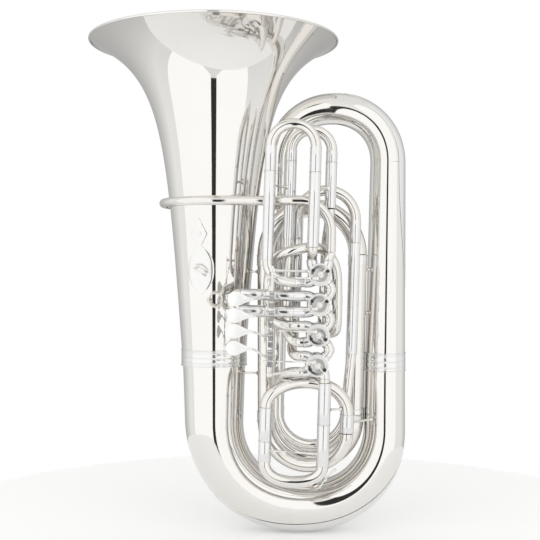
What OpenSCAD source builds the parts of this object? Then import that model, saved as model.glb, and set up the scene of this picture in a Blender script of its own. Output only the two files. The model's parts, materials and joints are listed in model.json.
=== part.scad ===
// Rotary-valve tuba: a bell, six conical bows and branches, four rotary valves with
// finger levers, four valve slides and a main tuning slide. Origin under the centre of
// its box, +Z towards the bell, -Y towards the listener's side that carries the levers.

/* [Bell] */
// Sideways place of the bell axis
bell_x = -61; // [-63:0.5:-59]
// Radius of the bell rim
bell_rim_r = 225; // [222:0.5:226]
// Height of the bell rim
bell_top = 887; // [880:1:890]
// Height where the bell meets the bottom bow
bell_foot = 316; // [312:1:320]
// Sheet thickness of bell and branches
sheet = 1; // [0.8:0.1:1.2]

/* [Branches] */
// Outer edge of the outer branch
outer_edge = 285; // [284:0.5:286]
// Height of the joint between bottom bow and outer branch
branch_foot = 308; // [304:1:312]
// Height of the springing of the top bow
branch_top = 667; // [660:1:672]
// Depth of the inner branch behind the bell plane
inner_depth = 15; // [14:0.5:16]

/* [Valves] */
// Sideways place of the first rotor axis
valve_x = 125.5; // [125:0.5:126]
// Depth of the plane that holds all valve ports
valve_depth = -95; // [-95.5:0.5:-94.5]
// Height of the first rotor axis
valve_z = 465; // [464:0.5:466]
// Lean of the valve section, in degrees
valve_tilt = 1.8; // [1.6:0.1:2]
// Distance from one rotor axis to the next
valve_pitch = 51.5; // [51:0.5:52]
// Radius of a valve casing
casing_r = 19; // [18.8:0.1:19.2]
// Radius of the bore of a valve tube
bore_r = 7.6; // [7.4:0.1:7.8]
// Wall of a valve tube
tube_wall = 1; // [0.8:0.1:1.1]
// Gap between a slide leg and its sleeve, on the radius
slide_gap = 0.05; // [0.02:0.01:0.08]

/* [Levers] */
// Depth of the hinge rod
hinge_depth = -157; // [-158:0.5:-156]
// Sideways place of the hinge rod from the rotor axes
hinge_x = -81; // [-82:0.5:-80]
// Distance from one lever hub to the next
lever_pitch = 32.6; // [32:0.2:33]
// Length of the crank arm that pushes a link
crank_r = 30; // [29:0.5:31]
// Distance from a rotor axis to its stop-arm pin
stop_r = 9; // [8.8:0.1:9.2]

/* [Hidden] */
$fn = 48;
VALVES = [0 : 3];

silver = "#d9d7d2";
bright = "#eceae6";
dull = "#b9b7b2";
rubber = "#2b2a29";
cork_tan = "#b08a5a";

tube_r = bore_r + tube_wall;          // outer radius of a valve tube
sleeve_r = tube_r + slide_gap + 1.3;  // outer radius of a slide sleeve
port_z = 14;                          // height of a valve port from its rotor axis
casing_front = -118;
casing_back = -72;
arm_depth = -124;                     // front face of the stop arms
link_depth = -128.5;                  // plane in which the links move
tab_depth = -123.7;                   // plane of the tabs that meet the bumpers
tab_r = 1.2;
bumper_r = 2.9;
bumper_at = 14;                       // distance from a rotor axis to its bumpers
bumper_turn = 45 - asin((bumper_r + tab_r + 0.1) / bumper_at);

// ---------------------------------------------------------------- path functions
function unit(v) = v / norm(v);
function lerp(a, b, t) = a + (b - a) * t;
function ease(t) = (1 - cos(180 * t)) / 2;

// U bend from a to b that turns at height crown above or below them, with its turning
// point at x = mid. A power above 2 squares the shoulders a little.
function u_bend(a, b, mid, crown, power = 2, n = 12) = [
    for (i = [0 : 2 * n])
        let (t = i / (2 * n), e = i <= n ? a : b, q = 90 * (i <= n ? i / n : (2 * n - i) / n))
        [mid + (e.x - mid) * pow(cos(q), 2 / power),
         lerp(a.y, b.y, ease(t)),
         e.z + (crown - e.z) * pow(sin(q), 2 / power)]];

// Radii along a U bend: ends ra and rb, rm at the turn
function taper(ra, rm, rb, n = 12) = [
    for (i = [0 : 2 * n]) i <= n ? lerp(ra, rm, i / n) : lerp(rm, rb, i / n - 1)];

// Cubic curve from a, leaving along u, to b, arriving along v
function curve(a, u, b, v, n = 8) = [
    for (i = [0 : n])
        let (t = i / n, s = 1 - t)
        s * s * s * a + 3 * s * s * t * (a + u) + 3 * s * t * t * (b - v) + t * t * t * b];

// Smooth curve through hand-set points, m steps a span
function through(p, m = 4) = [
    for (i = [0 : len(p) - 2], j = [0 : m - (i == len(p) - 2 ? 0 : 1)])
        let (t = j / m, a = p[max(i - 1, 0)], b = p[i], c = p[i + 1], d = p[min(i + 2, len(p) - 1)])
        0.5 * (2 * b + (c - a) * t + (2 * a - 5 * b + 4 * c - d) * t * t
               + (3 * b - a - 3 * c + d) * t * t * t)];

function heading(p, i) =
    i == 0 ? unit(4 * p[1] - 3 * p[0] - p[2])
    : i == len(p) - 1 ? unit(3 * p[i] - 4 * p[i - 1] + p[i - 2])
    : unit(p[i + 1] - p[i - 1]);
function carry(dirs, u, i = 0) =
    i == len(dirs) ? []
    : let (w = unit(u - (u * dirs[i]) * dirs[i])) concat([w], carry(dirs, w, i + 1));

// Swept shell between two radii. It covers the angles -span to +span about the side that
// starts at "side"; a span of 180 closes it into a tube.
module shell(path, outer, inner, span, side, sides = 16) {
    dirs = [for (i = [0 : len(path) - 1]) heading(path, i)];
    us = carry(dirs, side);
    full = is_undef(span);
    cols = full ? sides : sides + 1;
    rows = len(path);
    points = [
        for (layer = [outer, inner], i = [0 : rows - 1], k = [0 : cols - 1])
            let (turn = full ? 360 * k / sides : span[i] * (2 * k / sides - 1),
                 v = cross(dirs[i], us[i]))
            path[i] + layer[i] * (cos(turn) * us[i] + sin(turn) * v)];
    inside = rows * cols;
    faces = concat(
        [for (i = [0 : rows - 2], k = [0 : sides - 1])
            let (a = i * cols + k, b = i * cols + (k + 1) % cols)
            each [[a, a + cols, b + cols], [a, b + cols, b],
                  [a + inside, b + cols + inside, a + cols + inside],
                  [a + inside, b + inside, b + cols + inside]]],
        [for (k = [0 : sides - 1])
            let (a = k, b = (k + 1) % cols, c = (rows - 1) * cols + k, d = (rows - 1) * cols + b)
            each [[a, b, b + inside], [a, b + inside, a + inside],
                  [c, d + inside, d], [c, c + inside, d + inside]]],
        full ? [] : [for (i = [0 : rows - 2])
            let (a = i * cols, b = i * cols + cols - 1)
            each [[a, a + inside, a + cols + inside], [a, a + cols + inside, a + cols],
                  [b, b + cols + inside, b + inside], [b, b + cols, b + cols + inside]]]);
    polyhedron(points, faces);
}
module tube(path, radii, wall = sheet, side = [0, 1, 0.3], sides = 16)
    shell(path, radii, [for (r = radii) r - wall], undef, side, sides);
module pipe(path, r = tube_r, wall = tube_wall, sides = 12)
    tube(path, [for (p = path) r], wall, [0.2, 1, 0.3], sides);

// ---------------------------------------------------------------- exact bars and tubes
module along(a, b) {
    d = b - a;
    translate(a) rotate([0, acos(d.z / norm(d)), atan2(d.y, d.x)]) children();
}
module rod(a, b, r) along(a, b) cylinder(h = norm(b - a), r = r);
// Round bar through several points, with a ball over each elbow
module bent_rod(p, r) {
    for (i = [1 : len(p) - 1]) rod(p[i - 1], p[i], r);
    for (i = [1 : len(p) - 2]) translate(p[i]) sphere(r = r + 0.3);
}
module cone_tube(a, b, ra, rb, wall = sheet) along(a, b) difference() {
    cylinder(h = norm(b - a), r1 = ra, r2 = rb);
    translate([0, 0, -1]) cylinder(h = norm(b - a) + 2, r1 = ra - wall, r2 = rb - wall);
}
// Straight branch between two bows, short of both by what its lean needs
module branch(a, b, ra, rb) {
    lean = norm([b.x - a.x, b.y - a.y]) / norm(b - a);
    u = unit(b - a);
    cone_tube(a + (seam + ra * lean) * u, b - (seam + rb * lean) * u, ra, rb);
}
module sleeve(a, b, ro, ri) along(a, b) difference() {
    cylinder(h = norm(b - a), r = ro);
    translate([0, 0, -1]) cylinder(h = norm(b - a) + 2, r = ri);
}
// Sleeve from a to b with a raised ring at each end
module ringed_sleeve(a, b, ro, ri) {
    sleeve(a, b, ro, ri);
    for (e = [[a, b], [b, a]])
        sleeve(e[0], e[0] + 2 * unit(e[1] - e[0]), ro + 0.4, ro - 0.01);
}
// Half ring of tube in the XZ plane, open downwards, from -r to +r about its centre
module half_ring(r, ro, ri) rotate([90, 0, 0]) rotate_extrude(angle = 180) translate([r, 0])
    difference() {
        circle(r = ro);
        circle(r = ri);
    }
module in_valve_frame() translate([valve_x, 0, valve_z]) rotate([0, valve_tilt, 0]) children();

// ---------------------------------------------------------------- bell
function flare(t) = 55.7 + 34.8 * t + 1.8 * pow(1 - 0.727 * t, -3.33);
bell_flare_top = flare(1);
function bell_r(z) =
    let (t = (z - bell_foot) / (bell_top - 2 - bell_foot))
    flare(t) + (bell_rim_r - 2 - bell_flare_top) * pow(t, 6);
bell_steps = 36;
function bell_z(i) = lerp(bell_foot, bell_top - 2, pow(i / bell_steps, 0.75));

module bell() color(bright) translate([bell_x, 0, 0]) {
    rotate_extrude($fn = 96) polygon(concat(
        [for (i = [0 : bell_steps]) [bell_r(bell_z(i)), bell_z(i)]],
        [for (i = [bell_steps : -1 : 0]) [bell_r(bell_z(i)) - sheet, bell_z(i)]]));
    translate([0, 0, bell_top - 2.2]) rotate_extrude($fn = 96)
        translate([bell_rim_r - 2.2, 0]) circle(r = 2.2, $fn = 24);
}
module bell_ferrule() color(silver) translate([bell_x, 0, 0]) {
    sleeve([0, 0, 301], [0, 0, 331], 59.2, 58.6);
    for (z = [301, 304.5, 325.5, 329])
        sleeve([0, 0, z], [0, 0, z + 2], 60, 59.19);
}

// ---------------------------------------------------------------- large branches
bow_left = [bell_x, 0, 205];
bow_right = [outer_edge - 37.2, 0, 190];
bow_path = concat(
    [[bell_x, 0, bell_foot], [bell_x, 0, 260]],
    u_bend(bow_left, bow_right, 103, 45.4, 2.12),
    [[outer_edge - 36.8, 0, 250], [outer_edge - 36.4, 0, branch_foot]]);
bow_radii = concat([56.8, 54.6], taper(52.9, 44.2, 37.2), [36.6, 36.2]);

module bottom_bow() color(bright) tube(bow_path, bow_radii, sheet, [-1, 0, 0], 24);
guard_rows = [7 : 25];
guard_gap = 0.45;                     // keeps the flat facets of guard and bow apart
module bottom_bow_guard() color(silver)
    shell([for (i = guard_rows) bow_path[i]],
          [for (i = guard_rows) bow_radii[i] + guard_gap + 0.8],
          [for (i = guard_rows) bow_radii[i] + guard_gap],
          [for (i = guard_rows) 6 + 52 * pow(sin(10 * (i - 7)), 0.6)],
          [-1, 0, -0.4], 12);
module bow_ferrule() color(silver) {
    x = outer_edge - 36.4;
    sleeve([x, 0, 291], [x, 0, 324], 37, 36.3);
    for (z = [291, 294.5, 318.5, 322])
        sleeve([x, 0, z], [x, 0, z + 2], 37.6, 36.99);
}
outer_top = [outer_edge - 31.2, 0, branch_top];
outer_foot = [outer_edge - 36.2, 0, branch_foot];
inner_top = [57, inner_depth, branch_top];
inner_foot = [45, inner_depth, 204];
top_path = u_bend(inner_top, outer_top, 155.4, 766.5, 2.1, 10);
top_radii = taper(23, 28.3, 31.2, 10);

seam = 0.6;                           // clearance where a branch meets a bow under its ferrule
module outer_branch() color(bright) branch(outer_foot, outer_top, 36.1, 31.2);
module top_bow() color(bright) tube(top_path, top_radii, sheet, [-1, 0, 0], 24);
module outer_branch_guard() color(silver) {
    bow_part = [for (i = [11 : 20]) i];
    drop = [0.12, 0.3, 0.5, 0.75, 0.98];
    reach = 0.66;                     // share of the outer branch that the guard covers
    path = concat([for (i = bow_part) top_path[i]],
                  [for (t = drop) lerp(outer_top, outer_foot, reach * t)]);
    radii = concat([for (i = bow_part) top_radii[i]], [for (t = drop) lerp(31.2, 36.1, reach * t) + 0.1]);
    spans = concat([for (i = bow_part) min(52, 6 + 19 * (i - 11))],
                   [for (t = drop) 52 - 49 * pow(t, 2)]);
    shell(path, [for (r = radii) r + guard_gap + 0.8], [for (r = radii) r + guard_gap], spans,
          [0, 0, 1], 12);
}
module inner_branch() color(bright) branch(inner_foot, inner_top, 20, 23);

// ---------------------------------------------------------------- nested bows
inner_bow_right = [191.6, -4, 204];
module inner_bow() color(bright)
    tube(u_bend(inner_foot, inner_bow_right, 118.6, 130.4, n = 10), taper(20, 19, 17.5, 10),
         sheet, [-1, 0, 0], 18);
arch_right = [197.5, -24, 501];
arch_left = [33.5, -24, 501];
module third_branch() color(bright) branch(inner_bow_right, arch_right, 17.5, 16.3);
module inner_top_bow() color(bright)
    tube(u_bend(arch_left, arch_right, 116, 584, n = 10), taper(15.6, 16, 16.3, 10), sheet,
         [-1, 0, 0], 18);
front_left = [33.5, -24, 200.5];
return_depth = -72.6;                 // depth of the joint between tuning crown and front bow
front_right = [173.5, return_depth, 188];
module fourth_branch() color(bright) branch(front_left, arch_left, 15.2, 15.6);
module front_bow() color(bright)
    tube(u_bend(front_left, front_right, 104.2, 128.8, n = 10), taper(15.2, 12.6, 11.2, 10),
         sheet, [-1, 0, 0], 16);

module branch_ferrules() color(silver) {
    for (f = [[inner_top, inner_foot, 23], [inner_foot, inner_top, 20],
              [inner_bow_right, arch_right, 17.5], [arch_right, inner_bow_right, 16.3],
              [arch_left, front_left, 15.6], [front_left, arch_left, 15.2]])
        ringed_sleeve(f[0] + 0.5 * unit(f[1] - f[0]), f[0] + 20 * unit(f[1] - f[0]),
                      f[2] + 0.8, f[2] + 0.2);
}

// ---------------------------------------------------------------- main tuning slide
main_l = -84.8;               // left leg, from the rotor axes
main_rt = 15;                 // right leg
main_r = 9.7;                 // outer radius of an inner leg
main_sleeve = 11;
crown_left = [main_l, valve_depth, -230.6];
crown_right = [56.6, return_depth, -243];

// Stocking from a to b, then the inner leg from b to c
module slide_leg(a, b, c) {
    sleeve(a, b, main_sleeve - 0.1, main_r - 1);
    sleeve(b, c, main_r, main_r - 1);
}
module main_slide_sleeves() color(silver) in_valve_frame() {
    for (leg = [[main_l, -231, -289], [main_rt, -186, -258]]) {
        stop = [leg[0], valve_depth, leg[2]];
        sleeve(stop, [leg[0], valve_depth, leg[1]], main_sleeve, main_r + slide_gap);
        sleeve(stop, stop + [0, 0, 2], main_sleeve + 0.8, main_sleeve - 0.01);
    }
    sleeve(crown_right - [0, 0, 31], crown_right + [0, 0, 1], main_sleeve + 1.2, main_sleeve + 0.4);
}
main_bend_left = [main_l, valve_depth, -324];
main_bend_right = [main_rt, valve_depth, -329];
module main_slide_crook() color(bright) in_valve_frame() {
    slide_leg(main_bend_left, [main_l, valve_depth, -289.3], [main_l, valve_depth, -240]);
    slide_leg(main_bend_right, [main_rt, valve_depth, -258.3], [main_rt, valve_depth, -196]);
    pipe(u_bend(main_bend_left, main_bend_right, -35, -357.5, 2.25, 10), main_r + 0.6, 1.4, 16);
    rod([main_l + 10.3, valve_depth, -305], [main_rt - 10.3, valve_depth, -308], 1.8);
}
// The crown steps back behind the right leg of the slide
crown_path = [
    for (p = u_bend(crown_left, crown_right, -15, -188, 2.15, 10))
        [p.x, lerp(valve_depth, return_depth, ease(min(1, (p.x - main_l) / 72))), p.z]];
module tuning_crown() color(bright) in_valve_frame()
    tube(crown_path, taper(10.6, 10.9, 11.1, 10), sheet, [-1, 0, 0], 16);

// ---------------------------------------------------------------- leadpipe
pipe_z = 593;
wrap_r = 91;
leave_turn = 143;                     // where the leadpipe leaves the bell for the player
receiver_dir = [sin(leave_turn), -cos(leave_turn), 0];
leave_at = [bell_x + wrap_r * cos(leave_turn), wrap_r * sin(leave_turn), pipe_z];
receiver_at = leave_at + 50 * receiver_dir;
leadpipe_path = concat(
    [receiver_at, leave_at + 22 * receiver_dir],
    [for (k = [0 : 11])
        let (a = lerp(leave_turn, 270, k / 11))
        [bell_x + wrap_r * cos(a), wrap_r * sin(a), pipe_z]],
    [[bell_x + 14, -wrap_r, pipe_z], [-10, -91.3, pipe_z], [50, -91.5, pipe_z]],
    [for (a = [90 : -15 : 0]) [92.3 + 53 * cos(a), -91.5, pipe_z - 53 + 53 * sin(a)]],
    [[144.6, -92, 503.6]]);
leadpipe_end = len(leadpipe_path) - 1;
module leadpipe() color(bright)
    tube(leadpipe_path, [for (i = [0 : leadpipe_end]) lerp(7.4, 8.7, i / leadpipe_end)],
         tube_wall, [0, 0.2, 1], 16);
module mouthpiece_receiver() color(silver)
    along(receiver_at, receiver_at + receiver_dir) difference() {
        union() {
            translate([0, 0, -12]) cylinder(h = 58, r = 9.4);
            for (z = [-12, 12, 43]) translate([0, 0, z]) cylinder(h = 3, r = 10.4);
        }
        translate([0, 0, -13]) cylinder(h = 13, r = 7.43);
        translate([0, 0, -1]) cylinder(h = 18, r = 6);
        translate([0, 0, 16]) cylinder(h = 31, r = 6.6);
    }

// ---------------------------------------------------------------- valves
// Where a port ends: upwards on the first valve, downwards to the main slide on the last,
// level on the left, and at 45 degrees where a knuckle leads to the next valve
port_x = 24.2;
port_reach = 24.2;
function port_end(n, sx, sz) =
    n == 0 && sz == 1 || n == 3 && sx == 1 && sz == -1 ? [sx * port_z, valve_depth, sz * port_reach]
    : sx == 1 ? [16, valve_depth, sz * 16]
    : [-port_x, valve_depth, sz * port_z];
function turned(n, sx, sz) = port_end(n, sx, sz).x != 16;
elbow_r = 9.5;                        // drum cast round the elbow of a turned port
elbow_past = 3.1;                     // how far each bore runs past the elbow
module port_bodies(n) for (sx = [-1, 1], sz = [-1, 1]) {
    elbow = [sx * port_z, valve_depth, sz * port_z];
    if (turned(n, sx, sz)) {
        rod(elbow - [0, elbow_r + 0.1, 0], elbow + [0, elbow_r + 0.1, 0], elbow_r);
        rod(elbow, port_end(n, sx, sz), tube_r + 0.6);
    } else
        rod([sx * 10, valve_depth, sz * 10], port_end(n, sx, sz), tube_r + 0.6);
}
module port_bores(n) for (sx = [-1, 1], sz = [-1, 1]) {
    elbow = [sx * port_z, valve_depth, sz * port_z];
    tip = port_end(n, sx, sz);
    out = unit(tip - elbow);
    diagonal = unit([sx, 0, sz]);
    if (turned(n, sx, sz)) {
        rod([sx * 10, valve_depth, sz * 10], elbow + elbow_past * diagonal, bore_r - 0.2);
        rod(elbow - elbow_past * out, tip + out, bore_r);
    } else
        rod([sx * 10, valve_depth, sz * 10], tip + diagonal, bore_r);
}
module valve_casing(n) color(silver) in_valve_frame() translate([0, 0, -n * valve_pitch])
    difference() {
        union() {
            rod([0, casing_back, 0], [0, casing_front, 0], casing_r);
            port_bodies(n);
        }
        rod([0, casing_back + 1, 0], [0, casing_front - 1, 0], casing_r - 1.8);
        port_bores(n);
    }
module valve_caps() color(bright) in_valve_frame() for (n = VALVES) translate([0, 0, -n * valve_pitch]) {
    difference() {
        union() {
            rod([0, casing_back + 0.1, 0], [0, casing_back + 3, 0], casing_r + 0.6);
            rod([0, casing_back + 3, 0], [0, casing_back + 4.5, 0], casing_r - 4);
        }
        rod([0, casing_back - 1, 0], [0, casing_back + 2, 0], 3.05);
    }
    sleeve([0, casing_front - 0.1, 0], [0, casing_front - 2.6, 0], casing_r + 0.4, 3.55);
    for (a = [45, 225]) rotate([0, a, 0])
        rod([17.8, casing_front - 2.2, 0], [17.8, casing_front - 3.3, 0], 1.4);
}
function home(n) = n < 2 ? 225 : 135;
module rotor(n) color(silver) in_valve_frame() translate([0, 0, -n * valve_pitch]) {
    difference() {
        rod([0, casing_back - 2, 0], [0, casing_front + 2, 0], casing_r - 1.85);
        for (side = [0, 180]) rotate([0, side, 0]) translate([17 * sqrt(2), valve_depth, 0])
            rotate([90, 0, 0]) rotate([0, 0, 120]) rotate_extrude(angle = 120)
                translate([17, 0]) circle(r = bore_r - 1);
    }
    rod([0, casing_back - 2, 0], [0, casing_back + 1.5, 0], 3);
    rod([0, casing_front + 2, 0], [0, -127.5, 0], 3.5);
    arm = [cos(home(n)), 0, sin(home(n))];
    rod([0, -121.4, 0], [0, arm_depth, 0], 5.4);
    rod([0, -122.7, 0] + 4 * arm, [0, -122.7, 0] + (stop_r - 1) * arm, 1.1);
    rod([0, tab_depth, 0], [0, tab_depth, 0] - 15 * arm, tab_r);
    rod([0, -121.4, 0] + stop_r * arm, [0, arm_depth, 0] + stop_r * arm, 3.1);
    rod([0, arm_depth, 0] + stop_r * arm, [0, -131.2, 0] + stop_r * arm, 1.5);
    rod([0, -130.4, 0] + stop_r * arm, [0, -131.6, 0] + stop_r * arm, 2.6);
    rod([0, -127.5, 0], [0, -128.3, 0], 4.2);
}
bumper_spots = [for (s = [-1, 1]) bumper_at * [s * cos(bumper_turn), sin(bumper_turn)]];
// Crescent plates that carry the bumpers, on the side away from the stop-arm pin
module stop_plates() color(dull) in_valve_frame() for (n = VALVES) translate([0, 0, -n * valve_pitch])
    rotate([0, n < 2 ? 0 : 180, 0]) {
        translate([0, -120.7, 0]) rotate([90, 0, 0]) rotate_extrude(angle = 180) translate([12.2, 0])
            square([3.6, 1.2]);
        for (spot = bumper_spots) rod([spot.x, -121, spot.y], [spot.x, -125.2, spot.y], 1.5);
    }
module stop_bumpers() color(rubber) in_valve_frame() for (n = VALVES) translate([0, 0, -n * valve_pitch])
    rotate([0, n < 2 ? 0 : 180, 0]) for (spot = bumper_spots)
        sleeve([spot.x, -122.4, spot.y], [spot.x, -125, spot.y], bumper_r, 1.5);

// Main-line joints on the right of the valves, and the valve tubes' first elbows
module knuckles() color(bright) in_valve_frame() {
    for (n = [0 : 2])
        pipe(curve([16.3, valve_depth, -n * valve_pitch - 16.3], [5.3, 0, -5.3],
                   [16.3, valve_depth, -(n + 1) * valve_pitch + 16.3], [-5.3, 0, -5.3], 5));
    pipe(curve([17.9, -92, 38], [0, 0, -6], [port_z, valve_depth, port_reach + 0.4], [0, 0, -7], 6));
    drop_x = lerp(port_z, main_rt, 0.5);
    sleeve([drop_x, valve_depth, -3 * valve_pitch - port_reach - 0.2], [drop_x, valve_depth, -185.8],
           tube_r + 0.4, bore_r);
}

// ---------------------------------------------------------------- valve slides
// A slide that opens upwards: fixed sleeves, and a crook that rises out of them
module fixed_legs(legs, y) for (leg = legs) {
    sleeve([leg[0], y, leg[1]], [leg[0], y, leg[2]], sleeve_r, tube_r + slide_gap);
    sleeve([leg[0], y, leg[2] - 2], [leg[0], y, leg[2]], sleeve_r + 0.7, sleeve_r - 0.01);
}
module rising_crook(xa, xb, y, springing, stop_a, stop_b, reach) {
    for (leg = [[xa, stop_a], [xb, stop_b]]) {
        sleeve([leg[0], y, leg[1] + 0.3], [leg[0], y, springing], sleeve_r - 0.1, tube_r - 1);
        sleeve([leg[0], y, leg[1] - reach], [leg[0], y, leg[1] + 0.3], tube_r, tube_r - 1);
    }
    translate([(xa + xb) / 2, y, springing]) half_ring((xb - xa) / 2, tube_r + 0.6, tube_r - 1);
}
first_y = -112.5;
first_l = -90.3;
first_r = -13.7;
module first_slide_sleeves() color(silver) in_valve_frame() {
    fixed_legs([[first_l, 22, 174], [first_r, 46, 174]], first_y);
    pipe(curve([first_l, first_y, 22], [0, 0, -24], [first_l + 42, -106, -port_z], [24, 6, 0], 8));
    pipe(curve([first_l + 42, -106, -port_z], [16, 4, 0], [-port_x - 0.2, valve_depth, -port_z],
               [9, 0, 0], 4));
    pipe(curve([first_r, first_y, 46], [0, 0, -12], [-port_z, valve_depth, port_reach + 0.2],
               [0, 0, -10], 6));
}
module first_slide_crook() color(bright) in_valve_frame()
    rising_crook(first_l, first_r, first_y, 217, 174, 174, 110);

second_upper = -valve_pitch + port_z;
second_lower = -valve_pitch - port_z;
module second_slide_sleeves() color(silver) in_valve_frame() for (z = [second_upper, second_lower]) {
    sleeve([-port_x - 0.1, valve_depth, z], [-92, valve_depth, z], sleeve_r - 0.3, tube_r + slide_gap);
    sleeve([-90, valve_depth, z], [-92, valve_depth, z], sleeve_r + 0.4, sleeve_r - 0.31);
}
module second_slide_crook() color(bright) in_valve_frame() {
    for (z = [second_upper, second_lower]) {
        sleeve([-92.3, valve_depth, z], [-134, valve_depth, z], sleeve_r - 0.4, tube_r - 1);
        sleeve([-40, valve_depth, z], [-92.3, valve_depth, z], tube_r, tube_r - 1);
    }
    translate([-134, valve_depth, -valve_pitch]) rotate([0, -90, 0])
        half_ring(port_z, tube_r + 0.6, tube_r - 1);
    rod([-148 - tube_r, valve_depth, -valve_pitch], [-153.5 - tube_r, valve_depth, -valve_pitch], 2);
}

third_y = -71;
third_l = -54.5;
third_r = 15.9;
module third_slide_sleeves() color(silver) in_valve_frame() {
    fixed_legs([[third_l, 60, 196], [third_r, 116, 196]], third_y);
}
module third_slide_crook() color(bright) in_valve_frame()
    rising_crook(third_l, third_r, third_y, 216, 196, 196, 78);

third_upper = -2 * valve_pitch + port_z;
third_lower = -2 * valve_pitch - port_z;
module third_valve_loop() color(bright) in_valve_frame() {
    // upper port, left and up, over the crown, down the right-hand side and up behind the rotors
    pipe(through([[-port_x - 0.2, valve_depth, third_upper], [-38, valve_depth, third_upper],
                  [-58, -89, third_upper + 0.5], [-76, -78, third_upper + 9], [-84, -74, -62],
                  [-87, -74, -40], [-87, -75, -8], [-80, -83, 24],
                  [-54, -91.3, 38], [-20, -89, 46], [1, -80, 45], [12, -73.6, 38], [24, -71.5, 24],
                  [31, -71, 3], [33, -71, -30], [34, -69.5, -80], [31, -60, -99], [17, -53.5, -102],
                  [10, -52, -84], [11, -52, -20], [12, -52, 50], [15, -64, 86], [15.9, -71, 116]], 3),
         sides = 10);
    // left sleeve down to the lower port
    pipe(through([[third_l, third_y, 60], [third_l, third_y, -20], [third_l, third_y, -80],
                  [-52, -75, -101], [-45, -87, -113], [-34, -94, third_lower],
                  [-port_x - 0.2, valve_depth, third_lower]], 3), sides = 10);
}

fourth_y = -51;
fourth_l = -39.2;
fourth_r = 62.6;
module fourth_slide_sleeves() color(silver) in_valve_frame()
    fixed_legs([[fourth_l, -60, 62], [fourth_r, -138, 58]], fourth_y);
module fourth_slide_crook() color(bright) in_valve_frame()
    rising_crook(fourth_l, fourth_r, fourth_y, 97.8, 62, 58, 90);
ring_x = -4;                          // centre and radius of the lower turn
ring_r = 59;
fourth_upper = -3 * valve_pitch + port_z;
fourth_lower = -3 * valve_pitch - port_z;
module fourth_valve_bow() color(bright) in_valve_frame() {
    pipe(through([[fourth_l, fourth_y, -60], [fourth_l, fourth_y, -98], [-41, -56, -117],
                  [-43, -68, -130], [-40.5, -81, -137.5], [-35.5, -91, fourth_upper],
                  [-30, valve_depth, fourth_upper], [-port_x - 0.7, valve_depth, fourth_upper]], 3));
    pipe(concat(
        through([[-port_x - 0.7, valve_depth, fourth_lower], [-31, valve_depth, fourth_lower],
                 [-42, -90.5, -169.5], [-53, -79, -174],
                 [-61, -62, -185], [ring_x - ring_r, fourth_y, -204],
                 [ring_x - ring_r, fourth_y, -240]], 3),
        [for (a = [190 : 10 : 350]) [ring_x + ring_r * cos(a), fourth_y, -240.6 + ring_r * sin(a)]],
        [[ring_x + ring_r, fourth_y, -240], [fourth_r, fourth_y, -138]]));
}

// ---------------------------------------------------------------- levers and linkage
hub_top = -38.7;
function hub_z(n) = hub_top - n * lever_pitch;
function link_z(n) = -n * valve_pitch + (n < 2 ? -1 : 1) * stop_r * sin(45);
rest_swing = asin(stop_r * sin(45) / crank_r);   // crank angle at rest, either side of square
pin_rest = [hinge_x - crank_r * sin(rest_swing), hinge_depth + crank_r * cos(rest_swing)];
hinge_r = 2.2;

module hinge_rod() color(silver) in_valve_frame()
    rod([hinge_x, hinge_depth, 12], [hinge_x, hinge_depth, -172], hinge_r);
// Eyes that carry the hinge rod, each on a post from the end casing
bracket_feet = [[5, 5], [-168, -3 * valve_pitch - 5]];   // height of each eye and of its foot on a casing
module hinge_brackets() color(silver) in_valve_frame() for (heights = bracket_feet) {
    z = heights[0];
    foot_z = heights[1];
    difference() {
        union() {
            rod([hinge_x, hinge_depth, z - 2.5], [hinge_x, hinge_depth, z + 2.5], 5.4);
            rod([hinge_x + 3, hinge_depth + 2, z], [-20.8, -114, foot_z], 2.2);
        }
        rod([hinge_x, hinge_depth, z - 3], [hinge_x, hinge_depth, z + 3], hinge_r + 0.03);
    }
    rod([-21.4, -114, foot_z], [-19.1, -114, foot_z], 3.6);
}
blade_z = [-44.4, -71.9, -97.8, -125.8];     // centre of each finger plate
module finger_plate() rotate([90, 0, 0]) linear_extrude(1.8) hull() {
    translate([-61, 0]) circle(r = 12.6, $fn = 32);
    translate([-71, 0]) circle(r = 8, $fn = 32);
    translate([-32, 0]) circle(r = 3.2, $fn = 32);
}
module lever(n) color(bright) in_valve_frame() {
    z = hub_z(n);
    far = n == 3 ? -1 : 1;            // which end of the crank pin carries its head
    pin = [pin_rest.x, pin_rest.y, link_z(n)];
    difference() {
        union() {
            rod([hinge_x, hinge_depth, z - 9], [hinge_x, hinge_depth, z + 9], 4.1);
            rod([hinge_x - 3.2, hinge_depth, z], [hinge_x - 33, hinge_depth - 1.3, blade_z[n]], 2.2);
            bent_rod([[hinge_x, hinge_depth + 3, z], pin - [0, 7, 8 * far],
                      pin - [0, 0.6, 6.7 * far]], 2.2);
        }
        rod([hinge_x, hinge_depth, z - 10], [hinge_x, hinge_depth, z + 10], hinge_r + 0.05);
    }
    translate([hinge_x, hinge_depth - 0.4, blade_z[n]]) finger_plate();
    rod(pin - [0, 0, 7 * far], pin + [0, 0, 6.6 * far], 1.5);
    rod(pin + [0, 0, 6 * far], pin + [0, 0, 7 * far], 2.6);
}
module link(n) color(silver) in_valve_frame() {
    z = link_z(n);
    pin_x = stop_r * cos(home(n));
    eye_y = link_depth + 0.4;
    sleeve([pin_x, link_depth - 1.6, z], [pin_x, link_depth + 1.6, z], 3.4, 1.55);
    rod([pin_x - 2.9, link_depth, z], [pin_rest.x + 3.2, link_depth, z], 1.3);
    difference() {
        rod([pin_rest.x, eye_y, z - 1.5], [pin_rest.x, eye_y, z + 1.5], 4.4);
        rod([pin_rest.x, eye_y, z - 2], [pin_rest.x, eye_y, z + 2], 2.7);
    }
}
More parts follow.
